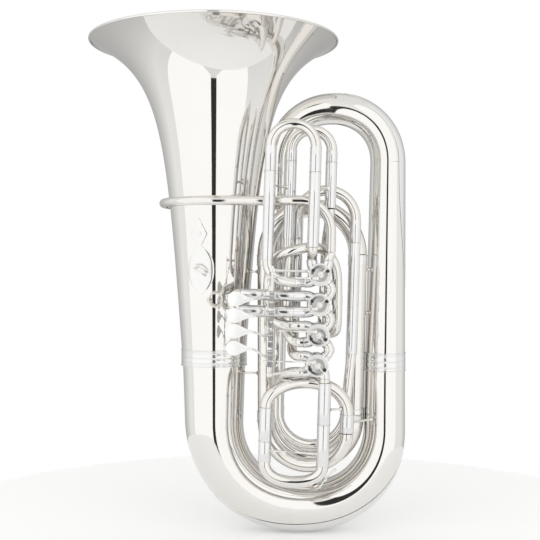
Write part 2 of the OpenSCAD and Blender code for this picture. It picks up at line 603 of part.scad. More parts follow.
module lever_springs() color(dull) in_valve_frame() for (n = VALVES, k = [0 : 4])
    translate([hinge_x, hinge_depth, hub_z(n) - 10.6 - 2 * k]) rotate_extrude()
        translate([3.7, 0]) circle(r = 0.8, $fn = 16);

// ---------------------------------------------------------------- water key
key_at = [-1.25, valve_depth, -351.5];        // on the axis of the slide's lower bend
key_turn = -26;                               // the nipple points down and a little right
key_pivot = [19.5, 0, -9.6];
nipple_end = -14.5;
module at_key() in_valve_frame() translate(key_at) rotate([0, key_turn, 0]) children();
// Nipple under the bend, and two eyes on short posts that carry the lever's pin
module water_key_saddle() color(silver) at_key() {
    sleeve([0, 0, -10.5], [0, 0, nipple_end], 4.6, 2.6);
    for (s = [-1, 1]) {
        eye = key_pivot + [0, s * 3.5, 0];
        post = unit([0.41, 0, -0.912]);
        sleeve(eye - [0, 0.9, 0], eye + [0, 0.9, 0], 2.6, 1.23);
        rod(eye - 2.8 * post, eye - 1.9 * post, 1.3);
    }
}
module water_key_lever() color(silver) at_key() {
    elbow = [6, 0, nipple_end - 3.1];
    seat = [0, 0, nipple_end - 3.7];
    rod(key_pivot - [0, 6, 0], key_pivot + [0, 6, 0], 1.2);
    rod(key_pivot - [0, 1.8, 0], key_pivot + [0, 1.8, 0], 2.2);
    rod(elbow - [0, 1.7, 0], elbow + [0, 1.7, 0], 1.9);
    for (leg = [[seat, elbow], [elbow, key_pivot], [key_pivot, [42.8, 0, -1]]])
        rod(leg[0], leg[1], 1.5);
    rod([0, 0, nipple_end - 1.8], [0, 0, nipple_end - 3.2], 4.4);
}
module water_key_cork() color(cork_tan) at_key()
    rod([0, 0, nipple_end - 0.02], [0, 0, nipple_end - 1.8], 3.8);

// ---------------------------------------------------------------- trim and braces
// Stay between two tubes, from a point on the axis and the outer radius of each
module stay(a, ra, b, rb) {
    u = unit(b - a);
    p = a + (ra + 0.3) * u;
    q = b - (rb + 0.3) * u;
    rod(p, q, 2);
    rod(p, p + 1.6 * u, 4.2);
    rod(q, q - 1.6 * u, 4.2);
}
function on(a, b, z) = lerp(a, b, (z - a.z) / (b.z - a.z));
module braces() color(silver) {
    stay([bell_x, 0, 288], 55.8, on(front_left, arch_left, 288), 15.3);
    stay([bell_x, 0, 470], bell_r(470) + 0.3, on(front_left, arch_left, 470), 15.6);
    for (s = [[396, 16.8, 35], [474, 16.5, 33.9]])
        stay(on(inner_bow_right, arch_right, s[0]), s[1], on(outer_foot, outer_top, s[0]), s[2]);
    stay([118.6, 5.5, 130.4], 19.4, [118.6, 5.5, 45.4], 44.5);
    in_valve_frame() {
        stay([main_rt, valve_depth, -232], main_sleeve, [crown_right.x - 1.1, return_depth, -232], 12.4);
        for (leg = [[first_l, third_l], [first_r, third_r]])
            stay([leg[0], first_y, 150], sleeve_r, [leg[1], third_y, 150], sleeve_r);
    }
    stay([crown_right.x + 117, return_depth, 206], 12.9, [outer_edge - 37.1, 0, 206], 37.4);
    for (turn = [205, 255]) {
        out = [cos(turn), sin(turn), 0];
        bell_at = [bell_x, 0, pipe_z];
        rod(bell_at + (bell_r(pipe_z) + 0.9) * out, bell_at + (wrap_r - 9.3) * out, 3);
    }
}

// Everything within a given distance outside the bell's own outer face, from low to high
module bell_bulk(low, high, out) translate([bell_x, 0, 0]) rotate_extrude($fn = 96)
    polygon(concat([[0, low]], [for (t = [0 : 0.25 : 1]) let (z = lerp(low, high, t)) [bell_r(z) + out, z]],
                   [[0, high]]));
function front(z, x) = -sqrt(pow(bell_r(z), 2) - pow(x - bell_x, 2));
plate_gap = 0.15;
plate_face = 1.7;                     // outer face of a plate, from the bell
// Curved plates soldered to the bell: the shield under the strap ring and a plain diamond
module bell_plates() color(bright)
    for (spot = [[-80, 473, 23, 42, 0.5], [-83, 536, 14.5, 27, 1]])
        intersection() {
            difference() {
                bell_bulk(spot[1] - 45, spot[1] + 45, plate_face);
                bell_bulk(spot[1] - 46, spot[1] + 46, plate_gap);
            }
            translate([spot[0], 0, spot[1]]) rotate([90, 0, 0]) linear_extrude(120)
                polygon([for (k = [0 : 39]) let (a = 9 * k)
                    [spot[2] * sign(cos(a)) * pow(abs(cos(a)), 2 * spot[4]),
                     spot[3] * sign(sin(a)) * pow(abs(sin(a)), 2 * spot[4])]]);
        }
// Two wire loops that stand out from the shield, each leg just short of it
ring_at = [-80, front(473, -80) - 5.5, 473];
ring_turn = 35;
wire_r = 1.5;
loop_r = 11.5;
module strap_ring() color(silver) translate(ring_at) rotate([0, ring_turn, 0])
    for (lift = [-3.6, 3.6]) {
        translate([0, 0, lift]) rotate([180, 0, 0]) rotate_extrude(angle = 180)
            translate([loop_r, 0]) circle(r = wire_r, $fn = 24);
        for (along_x = [-loop_r, loop_r]) {
            x = ring_at.x + along_x * cos(ring_turn) + lift * sin(ring_turn);
            z = ring_at.z - along_x * sin(ring_turn) + lift * cos(ring_turn);
            face_r = bell_r(z + wire_r) + plate_face + 0.1;
            face_y = -sqrt(pow(face_r, 2) - pow(max(abs(x - bell_x) - wire_r, 0), 2));
            rod([along_x, 0, lift], [along_x, face_y - ring_at.y, lift], wire_r);
        }
    }
thumb_at = [-54, -78, 421];
module thumb_ring() color(bright) {
    translate(thumb_at) rotate([90, 0, 0]) rotate_extrude() translate([12, 0])
        circle(r = 1.7, $fn = 24);
    stem_x = thumb_at.x - 12;
    rod([stem_x, front(thumb_at.z, stem_x) - 0.3, thumb_at.z], [stem_x, thumb_at.y, thumb_at.z], 2);
}

bell();
bell_ferrule();
bottom_bow();
bottom_bow_guard();
bow_ferrule();
outer_branch();
outer_branch_guard();
top_bow();
inner_branch();
inner_bow();
third_branch();
inner_top_bow();
fourth_branch();
front_bow();
tuning_crown();
branch_ferrules();
main_slide_sleeves();
main_slide_crook();
leadpipe();
mouthpiece_receiver();
valve_casing(0);  // valve_casing_1
valve_casing(1);  // valve_casing_2
valve_casing(2);  // valve_casing_3
valve_casing(3);  // valve_casing_4
valve_caps();
rotor(0);  // rotor_1
rotor(1);  // rotor_2
rotor(2);  // rotor_3
rotor(3);  // rotor_4
stop_plates();
stop_bumpers();
knuckles();
first_slide_sleeves();
first_slide_crook();
second_slide_sleeves();
second_slide_crook();
third_slide_sleeves();
third_slide_crook();
third_valve_loop();
fourth_slide_sleeves();
fourth_slide_crook();
fourth_valve_bow();
hinge_rod();
hinge_brackets();
lever(0);  // lever_1
lever(1);  // lever_2
lever(2);  // lever_3
lever(3);  // lever_4
lever_springs();
link(0);  // link_1
link(1);  // link_2
link(2);  // link_3
link(3);  // link_4
water_key_saddle();
water_key_lever();
water_key_cork();
braces();
bell_plates();
strap_ring();
thumb_ring();
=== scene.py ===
"""Looks for the rotary-valve tuba. Lengths inside the helpers are in millimetres."""
import json
import math

import bmesh
import bpy
from mathutils import Matrix, Vector


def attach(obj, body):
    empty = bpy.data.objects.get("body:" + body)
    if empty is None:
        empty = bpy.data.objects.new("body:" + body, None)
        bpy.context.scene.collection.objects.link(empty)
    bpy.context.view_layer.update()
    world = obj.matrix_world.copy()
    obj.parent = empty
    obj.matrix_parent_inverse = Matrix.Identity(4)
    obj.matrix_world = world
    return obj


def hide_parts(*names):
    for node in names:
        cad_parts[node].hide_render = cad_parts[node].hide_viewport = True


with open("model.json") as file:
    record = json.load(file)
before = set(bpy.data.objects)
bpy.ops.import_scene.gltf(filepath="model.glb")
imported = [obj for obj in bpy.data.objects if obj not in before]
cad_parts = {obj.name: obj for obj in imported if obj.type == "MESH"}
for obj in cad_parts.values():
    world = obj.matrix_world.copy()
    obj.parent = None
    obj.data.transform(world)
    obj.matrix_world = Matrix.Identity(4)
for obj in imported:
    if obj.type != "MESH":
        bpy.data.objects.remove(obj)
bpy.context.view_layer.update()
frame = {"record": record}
RECORD = frame["record"]
BODY_OF = {n: body for body, nodes in RECORD["behaviour"]["bodies"].items() for n in nodes}

MM = 0.001
SEG = 64
TILT = math.radians(1.8)
VALVE_X, VALVE_Z, VALVE_Y = 125.5, 465.0, -95.0
PITCH = 51.5
BELL_X, BELL_FOOT, BELL_TOP, RIM_R = -61.0, 316.0, 887.0, 225.0
OUTER_EDGE = 285.0
BORE, TUBE_R = 7.6, 8.6
SLEEVE_R = 9.95
GAP = 0.05
SHEET = 1.0
PORT_Z, PORT_X, PORT_REACH = 14.0, 24.2, 24.2
RETURN_Y = -72.6
MAIN_L, MAIN_R, MAIN_TUBE, MAIN_SLEEVE = -84.8, 15.0, 9.7, 11.0
CROWN_X, CROWN_Z = 56.6, -243.0


def W(x, y, z):
    """A point of the row frame, in millimetres."""
    return Vector((x, y, z))


def F(x, y, z):
    """A point of the valve section, which leans a little, in millimetres."""
    c, s = math.cos(TILT), math.sin(TILT)
    return Vector((VALVE_X + x * c + z * s, y, VALVE_Z - x * s + z * c))


def FD(x, y, z):
    """A direction of the valve section."""
    return F(x, y, z) - F(0, 0, 0)


def lerp(a, b, t):
    return a + (b - a) * t


# ---------------------------------------------------------------- paths
def u_bend(a, b, mid, crown, power=2.0, n=44):
    """Bow from a to b: two quarter superellipses that meet at (mid, crown)."""
    out = []
    for i in range(2 * n + 1):
        t = i / (2 * n)
        e = a if i <= n else b
        q = math.radians(90 * (i / n if i <= n else (2 * n - i) / n))
        cq, sq = max(math.cos(q), 0.0), max(math.sin(q), 0.0)
        ease = (1 - math.cos(math.pi * t)) / 2
        out.append(Vector((mid + (e.x - mid) * cq ** (2 / power), lerp(a.y, b.y, ease),
                           e.z + (crown - e.z) * sq ** (2 / power))))
    return out


def taper(ra, rm, rb, n=44):
    """Radii along a u_bend: at its start, at its crown and at its end."""
    return [lerp(ra, rm, i / n) if i <= n else lerp(rm, rb, i / n - 1) for i in range(2 * n + 1)]


def bezier(a, u, b, v, n=24):
    """Curve from a, leaving along u, to b, arriving along v."""
    out = []
    for i in range(n + 1):
        t = i / n
        s = 1 - t
        out.append(s ** 3 * a + 3 * s * s * t * (a + u) + 3 * s * t * t * (b - v) + t ** 3 * b)
    return out


def through(p, m=10):
    """Smooth curve through the points p."""
    out = []
    for i in range(len(p) - 1):
        a, b, c, d = p[max(i - 1, 0)], p[i], p[i + 1], p[min(i + 2, len(p) - 1)]
        for j in range(m):
            t = j / m
            out.append(0.5 * (2 * b + (c - a) * t + (2 * a - 5 * b + 4 * c - d) * t * t
                              + (3 * b - a - 3 * c + d) * t ** 3))
    return out + [p[-1].copy()]


def arc(centre, u, v, r, a0, a1, n=40):
    """Arc about centre in the plane of u and v, from angle a0 to a1 in degrees."""
    out = []
    for i in range(n + 1):
        a = math.radians(lerp(a0, a1, i / n))
        out.append(centre + r * (math.cos(a) * u + math.sin(a) * v))
    return out


def straight(a, b, n=10):
    return [a.lerp(b, i / n) for i in range(n + 1)]


def headings(path):
    """Unit direction of a path at each of its points."""
    last = len(path) - 1
    return [(path[min(i + 1, last)] - path[max(i - 1, 0)]).normalized() for i in range(last + 1)]


def carried(dirs, side):
    """A side vector carried along a path without twist."""
    u, out = Vector(side), []
    for d in dirs:
        u = (u - u.dot(d) * d).normalized()
        out.append(u)
    return out


# ---------------------------------------------------------------- mesh building
class Piece:
    """Gathers closed forms in millimetres and becomes one object."""

    def __init__(self, node):
        self.node, self.v, self.f, self.m = node, [], [], []

    def add(self, rows, mat=0, wrap_rows=False, wrap_cols=True, caps=False):
        base, n_rows, n_cols = len(self.v), len(rows), len(rows[0])
        for row in rows:
            self.v += row
        for i in range(n_rows if wrap_rows else n_rows - 1):
            for k in range(n_cols if wrap_cols else n_cols - 1):
                a, b = base + i * n_cols, base + ((i + 1) % n_rows) * n_cols
                k2 = (k + 1) % n_cols
                self.f.append((a + k, a + k2, b + k2, b + k))
                self.m.append(mat)
        if caps:
            for i in (0, n_rows - 1):
                self.f.append(tuple(base + i * n_cols + k for k in range(n_cols)))
                self.m.append(mat)
        return self

    def tube(self, path, outer, inner=None, seg=SEG, side=(0.1, 1, 0.3), mat=0):
        dirs = headings(path)
        us = carried(dirs, side)
        n = len(path)
        outer = outer if isinstance(outer, list) else [outer] * n
        rows = []
        spec = [(i, outer[i]) for i in range(n)]
        if inner is not None:
            inner = inner if isinstance(inner, list) else [inner] * n
            spec += [(i, inner[i]) for i in range(n - 1, -1, -1)]
        for i, r in spec:
            v = dirs[i].cross(us[i])
            rows.append([path[i] + r * (math.cos(a) * us[i] + math.sin(a) * v)
                         for a in (2 * math.pi * k / seg for k in range(seg))])
        return self.add(rows, mat, wrap_rows=inner is not None, caps=inner is None)

    def shell(self, path, outer, inner, spans, side, cols=40):
        """Part of a tube's wall, from -span to +span degrees about a side."""
        dirs = headings(path)
        us = carried(dirs, side)
        rows = []
        for i, p in enumerate(path):
            v = dirs[i].cross(us[i])
            line = []
            for r, order in ((outer[i], 1), (inner[i], -1)):
                for k in range(cols + 1):
                    a = math.radians(spans[i] * (2 * k / cols - 1) * order)
                    edge = 0.0 if order < 0 or 0 < k < cols else 0.35
                    line.append(p + (r - edge) * (math.cos(a) * us[i] + math.sin(a) * v))
            rows.append(line)
        return self.add(rows, caps=True)

    def turned(self, a, b, profile, seg=SEG, mat=0, closed=True):
        """Turns a profile of (distance from a, radius) about the line from a to b."""
        d = (b - a).normalized()
        u = d.orthogonal().normalized()
        v = d.cross(u)
        rows = [[a + s * d + r * (math.cos(t) * u + math.sin(t) * v)
                 for t in (2 * math.pi * k / seg for k in range(seg))] for s, r in profile]
        return self.add(rows, mat, wrap_rows=closed, caps=not closed)

    def rod(self, a, b, r, bevel=0.3, seg=32, mat=0):
        h = (b - a).length
        c = min(bevel, r * 0.6, h * 0.4)
        d = c * 0.3
        return self.turned(a, b, [(0, r - c), (d, r - d), (c, r), (h - c, r), (h - d, r - d),
                                  (h, r - c)], seg, mat, closed=False)

    def sleeve(self, a, b, ro, ri, bevel=0.2, seg=SEG, mat=0):
        h = (b - a).length
        c = min(bevel, (ro - ri) * 0.4, h * 0.4)
        return self.turned(a, b, [(0, ri), (0, ro - c), (0.3 * c, ro - 0.3 * c), (c, ro),
                                  (h - c, ro), (h - 0.3 * c, ro - 0.3 * c), (h, ro - c), (h, ri)],
                           seg, mat)

    def bead(self, a, b, r, rise=0.7, width=2.0, seg=SEG, mat=0, inner=None):
        """Rounded ring of the given width that starts at a and heads towards b."""
        inner = r - 0.35 if inner is None else inner
        prof = [(0, inner)]
        for k in range(9):
            q = math.pi * k / 8
            prof.append((width / 2 * (1 - math.cos(q)), r - 0.05 + rise * math.sin(q)))
        prof.append((width, inner))
        return self.turned(a, b, prof, seg, mat)

    def ring(self, centre, axis, big, small, seg=64, sides=20, mat=0):
        axis = Vector(axis).normalized()
        u = axis.orthogonal().normalized()
        v = axis.cross(u)
        rows = []
        for i in range(seg):
            a = 2 * math.pi * i / seg
            out = math.cos(a) * u + math.sin(a) * v
            rows.append([centre + (big + small * math.cos(t)) * out + small * math.sin(t) * axis
                         for t in (2 * math.pi * k / sides for k in range(sides))])
        return self.add(rows, mat, wrap_rows=True)

    def ball(self, centre, r, seg=24, mat=0):
        up = Vector((0, 0, 1))
        prof = [(r * (1 - math.cos(math.pi * k / 12)), r * math.sin(math.pi * k / 12)) for k in range(13)]
        prof[0], prof[-1] = (0.001, 0.02 * r), (2 * r - 0.001, 0.02 * r)
        return self.turned(centre - r * up, centre + r * up, prof, seg, mat, closed=False)

    def plate(self, outline, place, thick, crown=0.0, edge=0.35, mat=0):
        """Rounded plate: outline in the plane, place(x, z, height) puts it in space."""
        cx = sum(p[0] for p in outline) / len(outline)
        cz = sum(p[1] for p in outline) / len(outline)

        def ring_at(k, h, shrink=0.0):
            out = []
            for x, z in outline:
                dx, dz = x - cx, z - cz
                size = math.hypot(dx, dz) or 1
                f = k * max(size - shrink, 0) / size
                out.append(place(cx + dx * f, cz + dz * f, h))
            return out
        rows = [ring_at(1, 0.0, edge), ring_at(1, edge, 0)]
        rows += [ring_at(1, thick - edge, 0), ring_at(1, thick - 0.3 * edge, 0.3 * edge),
                 ring_at(1, thick, edge)]
        rows += [ring_at(k, thick + crown * (1 - k * k), edge)
                 for k in (0.85, 0.7, 0.55, 0.4, 0.25, 0.1, 0.02)]
        bottom = [ring_at(k, 0.0, edge) for k in (0.02, 0.5)]
        return self.add(bottom + rows, mat, caps=True)

    def screw(self, base, out, r, h=1.0, turn=30.0, mat=0):
        """Slotted screw head that stands on base and points out."""
        out = Vector(out).normalized()
        self.rod(base - 0.4 * out, base + 0.45 * h * out, r, 0.15, 28, mat)
        u = out.orthogonal().normalized()
        u = Matrix.Rotation(math.radians(turn), 3, out) @ u
        v = out.cross(u)
        half = 0.16 * r
        limit = math.acos(half / r)
        for s in (-1, 1):
            pts = [(r * 0.97 * math.cos(a), r * 0.97 * math.sin(a))
                   for a in (lerp(-limit, limit, k / 14) for k in range(15))]
            rows = []
            for f, lift in ((1, 0.4 * h), (1, 0.85 * h), (0.9, h)):
                rows.append([base + lift * out + s * (max(x * f, half) * u + y * f * v) for x, y in pts])
            self.add(rows, mat, caps=True)
        return self

    def done(self, materials, angle=32.0, name=None):
        mesh = bpy.data.meshes.new(self.node + "_look")
        mesh.from_pydata([tuple(p * MM) for p in self.v], [], self.f)
        for m in materials:
            mesh.materials.append(m)
        mesh.polygons.foreach_set("material_index", self.m)
        bm = bmesh.new()
        bm.from_mesh(mesh)
        bmesh.ops.recalc_face_normals(bm, faces=bm.faces)
        bm.to_mesh(mesh)
        bm.free()
        mesh.shade_smooth()
        mesh.set_sharp_from_angle(angle=math.radians(angle))
        obj = bpy.data.objects.new(name or self.node + "_look", mesh)
        bpy.context.scene.collection.objects.link(obj)
        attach(obj, BODY_OF[self.node])
        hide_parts(self.node)
        return obj


# ---------------------------------------------------------------- materials
def node_material(name):
    mat = bpy.data.materials.new(name)
    mat.use_nodes = True
    tree = mat.node_tree
    shader = tree.nodes["Principled BSDF"]
    return mat, tree, shader


def noise(tree, scale, detail=4.0, rough=0.5, stretch=(1, 1, 1)):
    coord = tree.nodes.new("ShaderNodeTexCoord")
    mapping = tree.nodes.new("ShaderNodeMapping")
    mapping.inputs["Scale"].default_value = stretch
    tex = tree.nodes.new("ShaderNodeTexNoise")
    tex.inputs["Scale"].default_value = scale
    tex.inputs["Detail"].default_value = detail
    tex.inputs["Roughness"].default_value = rough
    tree.links.new(coord.outputs["Object"], mapping.inputs["Vector"])
    tree.links.new(mapping.outputs["Vector"], tex.inputs["Vector"])
    return tex.outputs["Fac"]


def ramp(tree, fac, stops):
    """Colour ramp over (position, colour) stops."""
    node = tree.nodes.new("ShaderNodeValToRGB")
    while len(node.color_ramp.elements) < len(stops):
        node.color_ramp.elements.new(0.5)
    for e, (pos, colour) in zip(node.color_ramp.elements, stops):
        e.position = pos
        e.color = tuple(colour) + (1.0,)
    tree.links.new(fac, node.inputs["Fac"])
    return node.outputs["Color"]


def spread(tree, fac, low, high, lo_in=0.3, hi_in=0.7):
    """Maps a value from lo_in-hi_in to low-high."""
    node = tree.nodes.new("ShaderNodeMapRange")
    node.inputs["From Min"].default_value = lo_in
    node.inputs["From Max"].default_value = hi_in
    node.inputs["To Min"].default_value = low
    node.inputs["To Max"].default_value = high
    tree.links.new(fac, node.inputs["Value"])
    return node.outputs["Result"]


def bumps(tree, layers):
    """Chains bump layers of (height, distance in metres)."""
    last = None
    for height, distance in layers:
        node = tree.nodes.new("ShaderNodeBump")
        node.inputs["Strength"].default_value = 1.0
        node.inputs["Distance"].default_value = distance
        tree.links.new(height, node.inputs["Height"])
        if last is not None:
            tree.links.new(last, node.inputs["Normal"])
        last = node.outputs["Normal"]
    return last


def silver_material(name, bright, shade, rough_low, rough_high, ripple, grain):
    """Silver plate with clouded tone, smeared gloss, a slow ripple and a fine grain (metres)."""
    mat, tree, shader = node_material(name)
    cloud = noise(tree, 7.0, 5.0, 0.6)
    tree.links.new(ramp(tree, cloud, [(0.35, shade), (0.62, bright)]), shader.inputs["Base Color"])
    smear = noise(tree, 24.0, 7.0, 0.65, (1, 1, 0.45))
    tree.links.new(spread(tree, smear, rough_low, rough_high), shader.inputs["Roughness"])
    shader.inputs["Metallic"].default_value = 1.0
    layers = [(noise(tree, 9.0, 1.0, 0.4), ripple)]
    if grain:
        layers.append((noise(tree, 900.0, 3.0, 0.6, (1, 1, 0.03)), grain))
    tree.links.new(bumps(tree, layers), shader.inputs["Normal"])
    return mat


MIRROR = silver_material("silver_mirror_plate", (0.815, 0.80, 0.775), (0.80, 0.783, 0.755),
                         0.025, 0.06, 0.00022, 0.0)
TUBING = silver_material("silver_tube_plate", (0.80, 0.78, 0.75), (0.775, 0.752, 0.718),
                         0.035, 0.09, 0.00008, 0.0)
SATIN = silver_material("silver_satin_plate", (0.80, 0.80, 0.80), (0.765, 0.765, 0.765),
                        0.09, 0.15, 0.00003, 0.0000003)
TRIM = silver_material("silver_trim_plate", (0.81, 0.805, 0.795), (0.785, 0.78, 0.77),
                       0.10, 0.18, 0.00005, 0.0000008)
KEYWORK = silver_material("silver_keywork_plate", (0.83, 0.82, 0.80), (0.79, 0.775, 0.75),
                          0.05, 0.12, 0.00005, 0.0000004)
BRUSHED = silver_material("silver_brushed_plate", (0.88, 0.87, 0.85), (0.83, 0.82, 0.79),
                          0.36, 0.48, 0.00003, 0.000002)
BLADE = silver_material("silver_finger_plate", (0.95, 0.95, 0.94), (0.91, 0.905, 0.89),
                        0.40, 0.50, 0.00002, 0.000001)
# Lever hub plate: the silver plate darkened to grey, which is painted shade.
HUB_PAINTED_SHADE = silver_material("silver_hinge_sleeve_painted_shade", (0.38, 0.38, 0.38), (0.31, 0.31, 0.31),
                        0.22, 0.34, 0.00002, 0.000001)
BEARING = silver_material("silver_bearing_plate", (0.62, 0.615, 0.60), (0.50, 0.495, 0.48),
                          0.24, 0.38, 0.00004, 0.000002)
WIRE = silver_material("spring_wire_steel", (0.50, 0.50, 0.51), (0.38, 0.38, 0.39),
                       0.25, 0.38, 0.00002, 0.000001)


def dull_material(name, light, dark, rough, scale, depth):
    """Rubber or cork: two mixed tones and fine pits."""
    mat, tree, shader = node_material(name)
    speck = noise(tree, scale, 8.0, 0.7)
    tree.links.new(ramp(tree, speck, [(0.38, dark), (0.62, light)]), shader.inputs["Base Color"])
    tree.links.new(spread(tree, speck, rough, min(rough + 0.15, 1)), shader.inputs["Roughness"])
    tree.links.new(bumps(tree, [(noise(tree, scale * 2, 6.0), depth)]), shader.inputs["Normal"])
    return mat


RUBBER = dull_material("bumper_rubber_black", (0.045, 0.045, 0.045), (0.02, 0.02, 0.02), 0.6, 700.0,
                       0.00005)
CORK = dull_material("cork_pad_tan", (0.55, 0.38, 0.22), (0.30, 0.18, 0.09), 0.8, 900.0, 0.00012)


# ---------------------------------------------------------------- bell
def flare(t):
    return 55.7 + 34.8 * t + 1.8 * (1 - 0.727 * t) ** -3.33


def bell_r(z):
    """Radius of the bell at height z, with a tighter curve at the rim."""
    t = (z - BELL_FOOT) / (BELL_TOP - 2 - BELL_FOOT)
    return flare(t) + (RIM_R - 2 - flare(1)) * t ** 6


def make_bell():
    p = Piece("bell")
    steps = 110
    zs = [lerp(BELL_FOOT, BELL_TOP - 2, (i / steps) ** 0.75) for i in range(steps + 1)]
    prof = [(z, bell_r(z)) for z in zs] + [(z, bell_r(z) - 0.95) for z in reversed(zs)]
    p.turned(W(BELL_X, 0, 0), W(BELL_X, 0, 1), prof, 192)
    p.ring(W(BELL_X, 0, BELL_TOP - 2.2), (0, 0, 1), RIM_R - 2.2, 2.2, 192, 24)
    return p.done([MIRROR], 50)


def banded(p, foot, top, ro, ri, lines):
    """Ferrule with rounded borders and fine turned grooves at the given places."""
    h = (top - foot).length
    prof = [(0, ri), (0, ro + 0.3), (0.3, ro + 0.75), (1.3, ro + 0.75), (1.8, ro)]
    for s in lines:
        prof += [(s - 0.45, ro), (s, ro - 0.28), (s + 0.45, ro)]
    prof += [(h - 1.8, ro), (h - 1.3, ro + 0.75), (h - 0.3, ro + 0.75), (h, ro + 0.3), (h, ri)]
    return p.turned(foot, top, prof, 128)


def make_large_branches():
    p = Piece("bell_ferrule")
    banded(p, W(BELL_X, 0, 301), W(BELL_X, 0, 331), 59.2, 58.6, (4.0, 6.2, 15, 23.8, 26.0))
    p.done([TRIM])
    x = OUTER_EDGE - 36.4
    p = Piece("bow_ferrule")
    banded(p, W(x, 0, 291), W(x, 0, 324), 37.0, 36.3, (4.0, 6.2, 16.5, 26.8, 29.0))
    p.done([TRIM])

    left, right = W(BELL_X, 0, 205), W(OUTER_EDGE - 37.2, 0, 190)
    bend = u_bend(left, right, 103, 45.4, 2.12)
    path = [W(BELL_X, 0, z) for z in (316, 302, 288, 274, 260, 246, 232, 218)] + bend
    path += [W(lerp(OUTER_EDGE - 37.2, OUTER_EDGE - 36.8, t), 0, lerp(190, 250, t))
             for t in (0.33, 0.66, 1)]
    path += [W(lerp(OUTER_EDGE - 36.8, OUTER_EDGE - 36.4, t), 0, lerp(250, 308, t))
             for t in (0.33, 0.66, 1)]
    radii = [lerp(56.8, 54.6, k / 4) for k in range(5)] + [lerp(54.6, 52.9, k / 4) for k in (1, 2, 3)]
    radii += taper(52.9, 44.2, 37.2) + [37.0, 36.8, 36.6, 36.47, 36.33, 36.2]
    Piece("bottom_bow").tube(path, radii, [r - SHEET for r in radii], 128, (-1, 0, 0)).done([MIRROR])

    first, last = 8 + int(88 * 5 / 24), 8 + int(88 * 22.5 / 24)
    rows = list(range(first, last))
    spans = [6 + 52 * max(math.sin(math.pi * (i - first) / (last - 1 - first)), 0) ** 0.6 for i in rows]
    Piece("bottom_bow_guard").shell([path[i] for i in rows], [radii[i] + 1.2 for i in rows],
                                    [radii[i] + 0.05 for i in rows], spans, (-1, 0, -0.4), 64).done([TRIM])

    top = u_bend(W(57, 15, 667), W(OUTER_EDGE - 31.2, 0, 667), 155.4, 766.5, 2.1)
    top_r = taper(23, 28.3, 31.2)
    Piece("top_bow").tube(top, top_r, [r - SHEET for r in top_r], 112, (-1, 0, 0)).done([MIRROR])
    foot, head = W(OUTER_EDGE - 36.2, 0, 308), W(OUTER_EDGE - 31.2, 0, 667)
    cone("outer_branch", foot, head, 36.1, 31.2, MIRROR, 112)
    rows = list(range(int(88 * 11 / 20), 89))
    drop = [k / 24 for k in range(1, 24)]
    path = [top[i] for i in rows] + [head.lerp(W(OUTER_EDGE - 35, 0, 430), t) for t in drop]
    radii = [top_r[i] for i in rows] + [lerp(31.2, 34.5, t) for t in drop]
    spans = [min(52, 6 + 19 * (i - rows[0]) * 20 / 88) for i in rows] + [52 - 49 * t * t for t in drop]
    Piece("outer_branch_guard").shell(path, [r + 1 for r in radii], [r + 0.05 for r in radii], spans,
                                      (0, 0, 1), 48).done([TRIM])


def cone(node, a, b, ra, rb, material, seg=80):
    """Straight tapered branch."""
    h = (b - a).length
    prof = [(0, ra - SHEET)] + [(h * k / 12, lerp(ra, rb, k / 12)) for k in range(13)]
    prof += [(h * k / 12, lerp(ra, rb, k / 12) - SHEET) for k in range(12, 0, -1)]
    return Piece(node).turned(a, b, prof, seg).done([material])


def ferrule(p, a, b, ro, ri):
    """Plain ferrule with a bead at each end."""
    p.sleeve(a, b, ro, ri)
    p.bead(a, b, ro, 0.65)
    p.bead(b, a, ro, 0.65)
    return p


def make_nested_branches():
    inner_top, inner_foot = W(57, 15, 667), W(45, 15, 204)
    bow_right, arch_right = W(191.6, -4, 204), W(197.5, -24, 501)
    arch_left, front_left, front_right = W(33.5, -24, 501), W(33.5, -24, 200.5), W(173.5, RETURN_Y, 188)
    cone("inner_branch", inner_foot, inner_top, 20, 23, MIRROR)
    cone("third_branch", bow_right, arch_right, 17.5, 16.3, TUBING)
    cone("fourth_branch", front_left, arch_left, 15.2, 15.6, TUBING)
    for node, a, b, mid, crown, rs in (
            ("inner_bow", inner_foot, bow_right, 118.6, 130.4, (20, 19, 17.5)),
            ("inner_top_bow", arch_left, arch_right, 116, 584, (15.6, 16, 16.3)),
            ("front_bow", front_left, front_right, 104.2, 128.8, (15.2, 12.6, 11.2))):
        radii = taper(*rs)
        Piece(node).tube(u_bend(a, b, mid, crown), radii, [r - SHEET for r in radii], 80,
                         (-1, 0, 0)).done([TUBING])
    p = Piece("branch_ferrules")
    for a, b, r in ((inner_top, inner_foot, 23), (inner_foot, inner_top, 20), (bow_right, arch_right, 17.5),
                    (arch_right, bow_right, 16.3), (arch_left, front_left, 15.6),
                    (front_left, arch_left, 15.2)):
        d = (b - a).normalized()
        ferrule(p, a + 0.5 * d, a + 20 * d, r + 0.9, r + 0.2)
    p.done([TRIM])


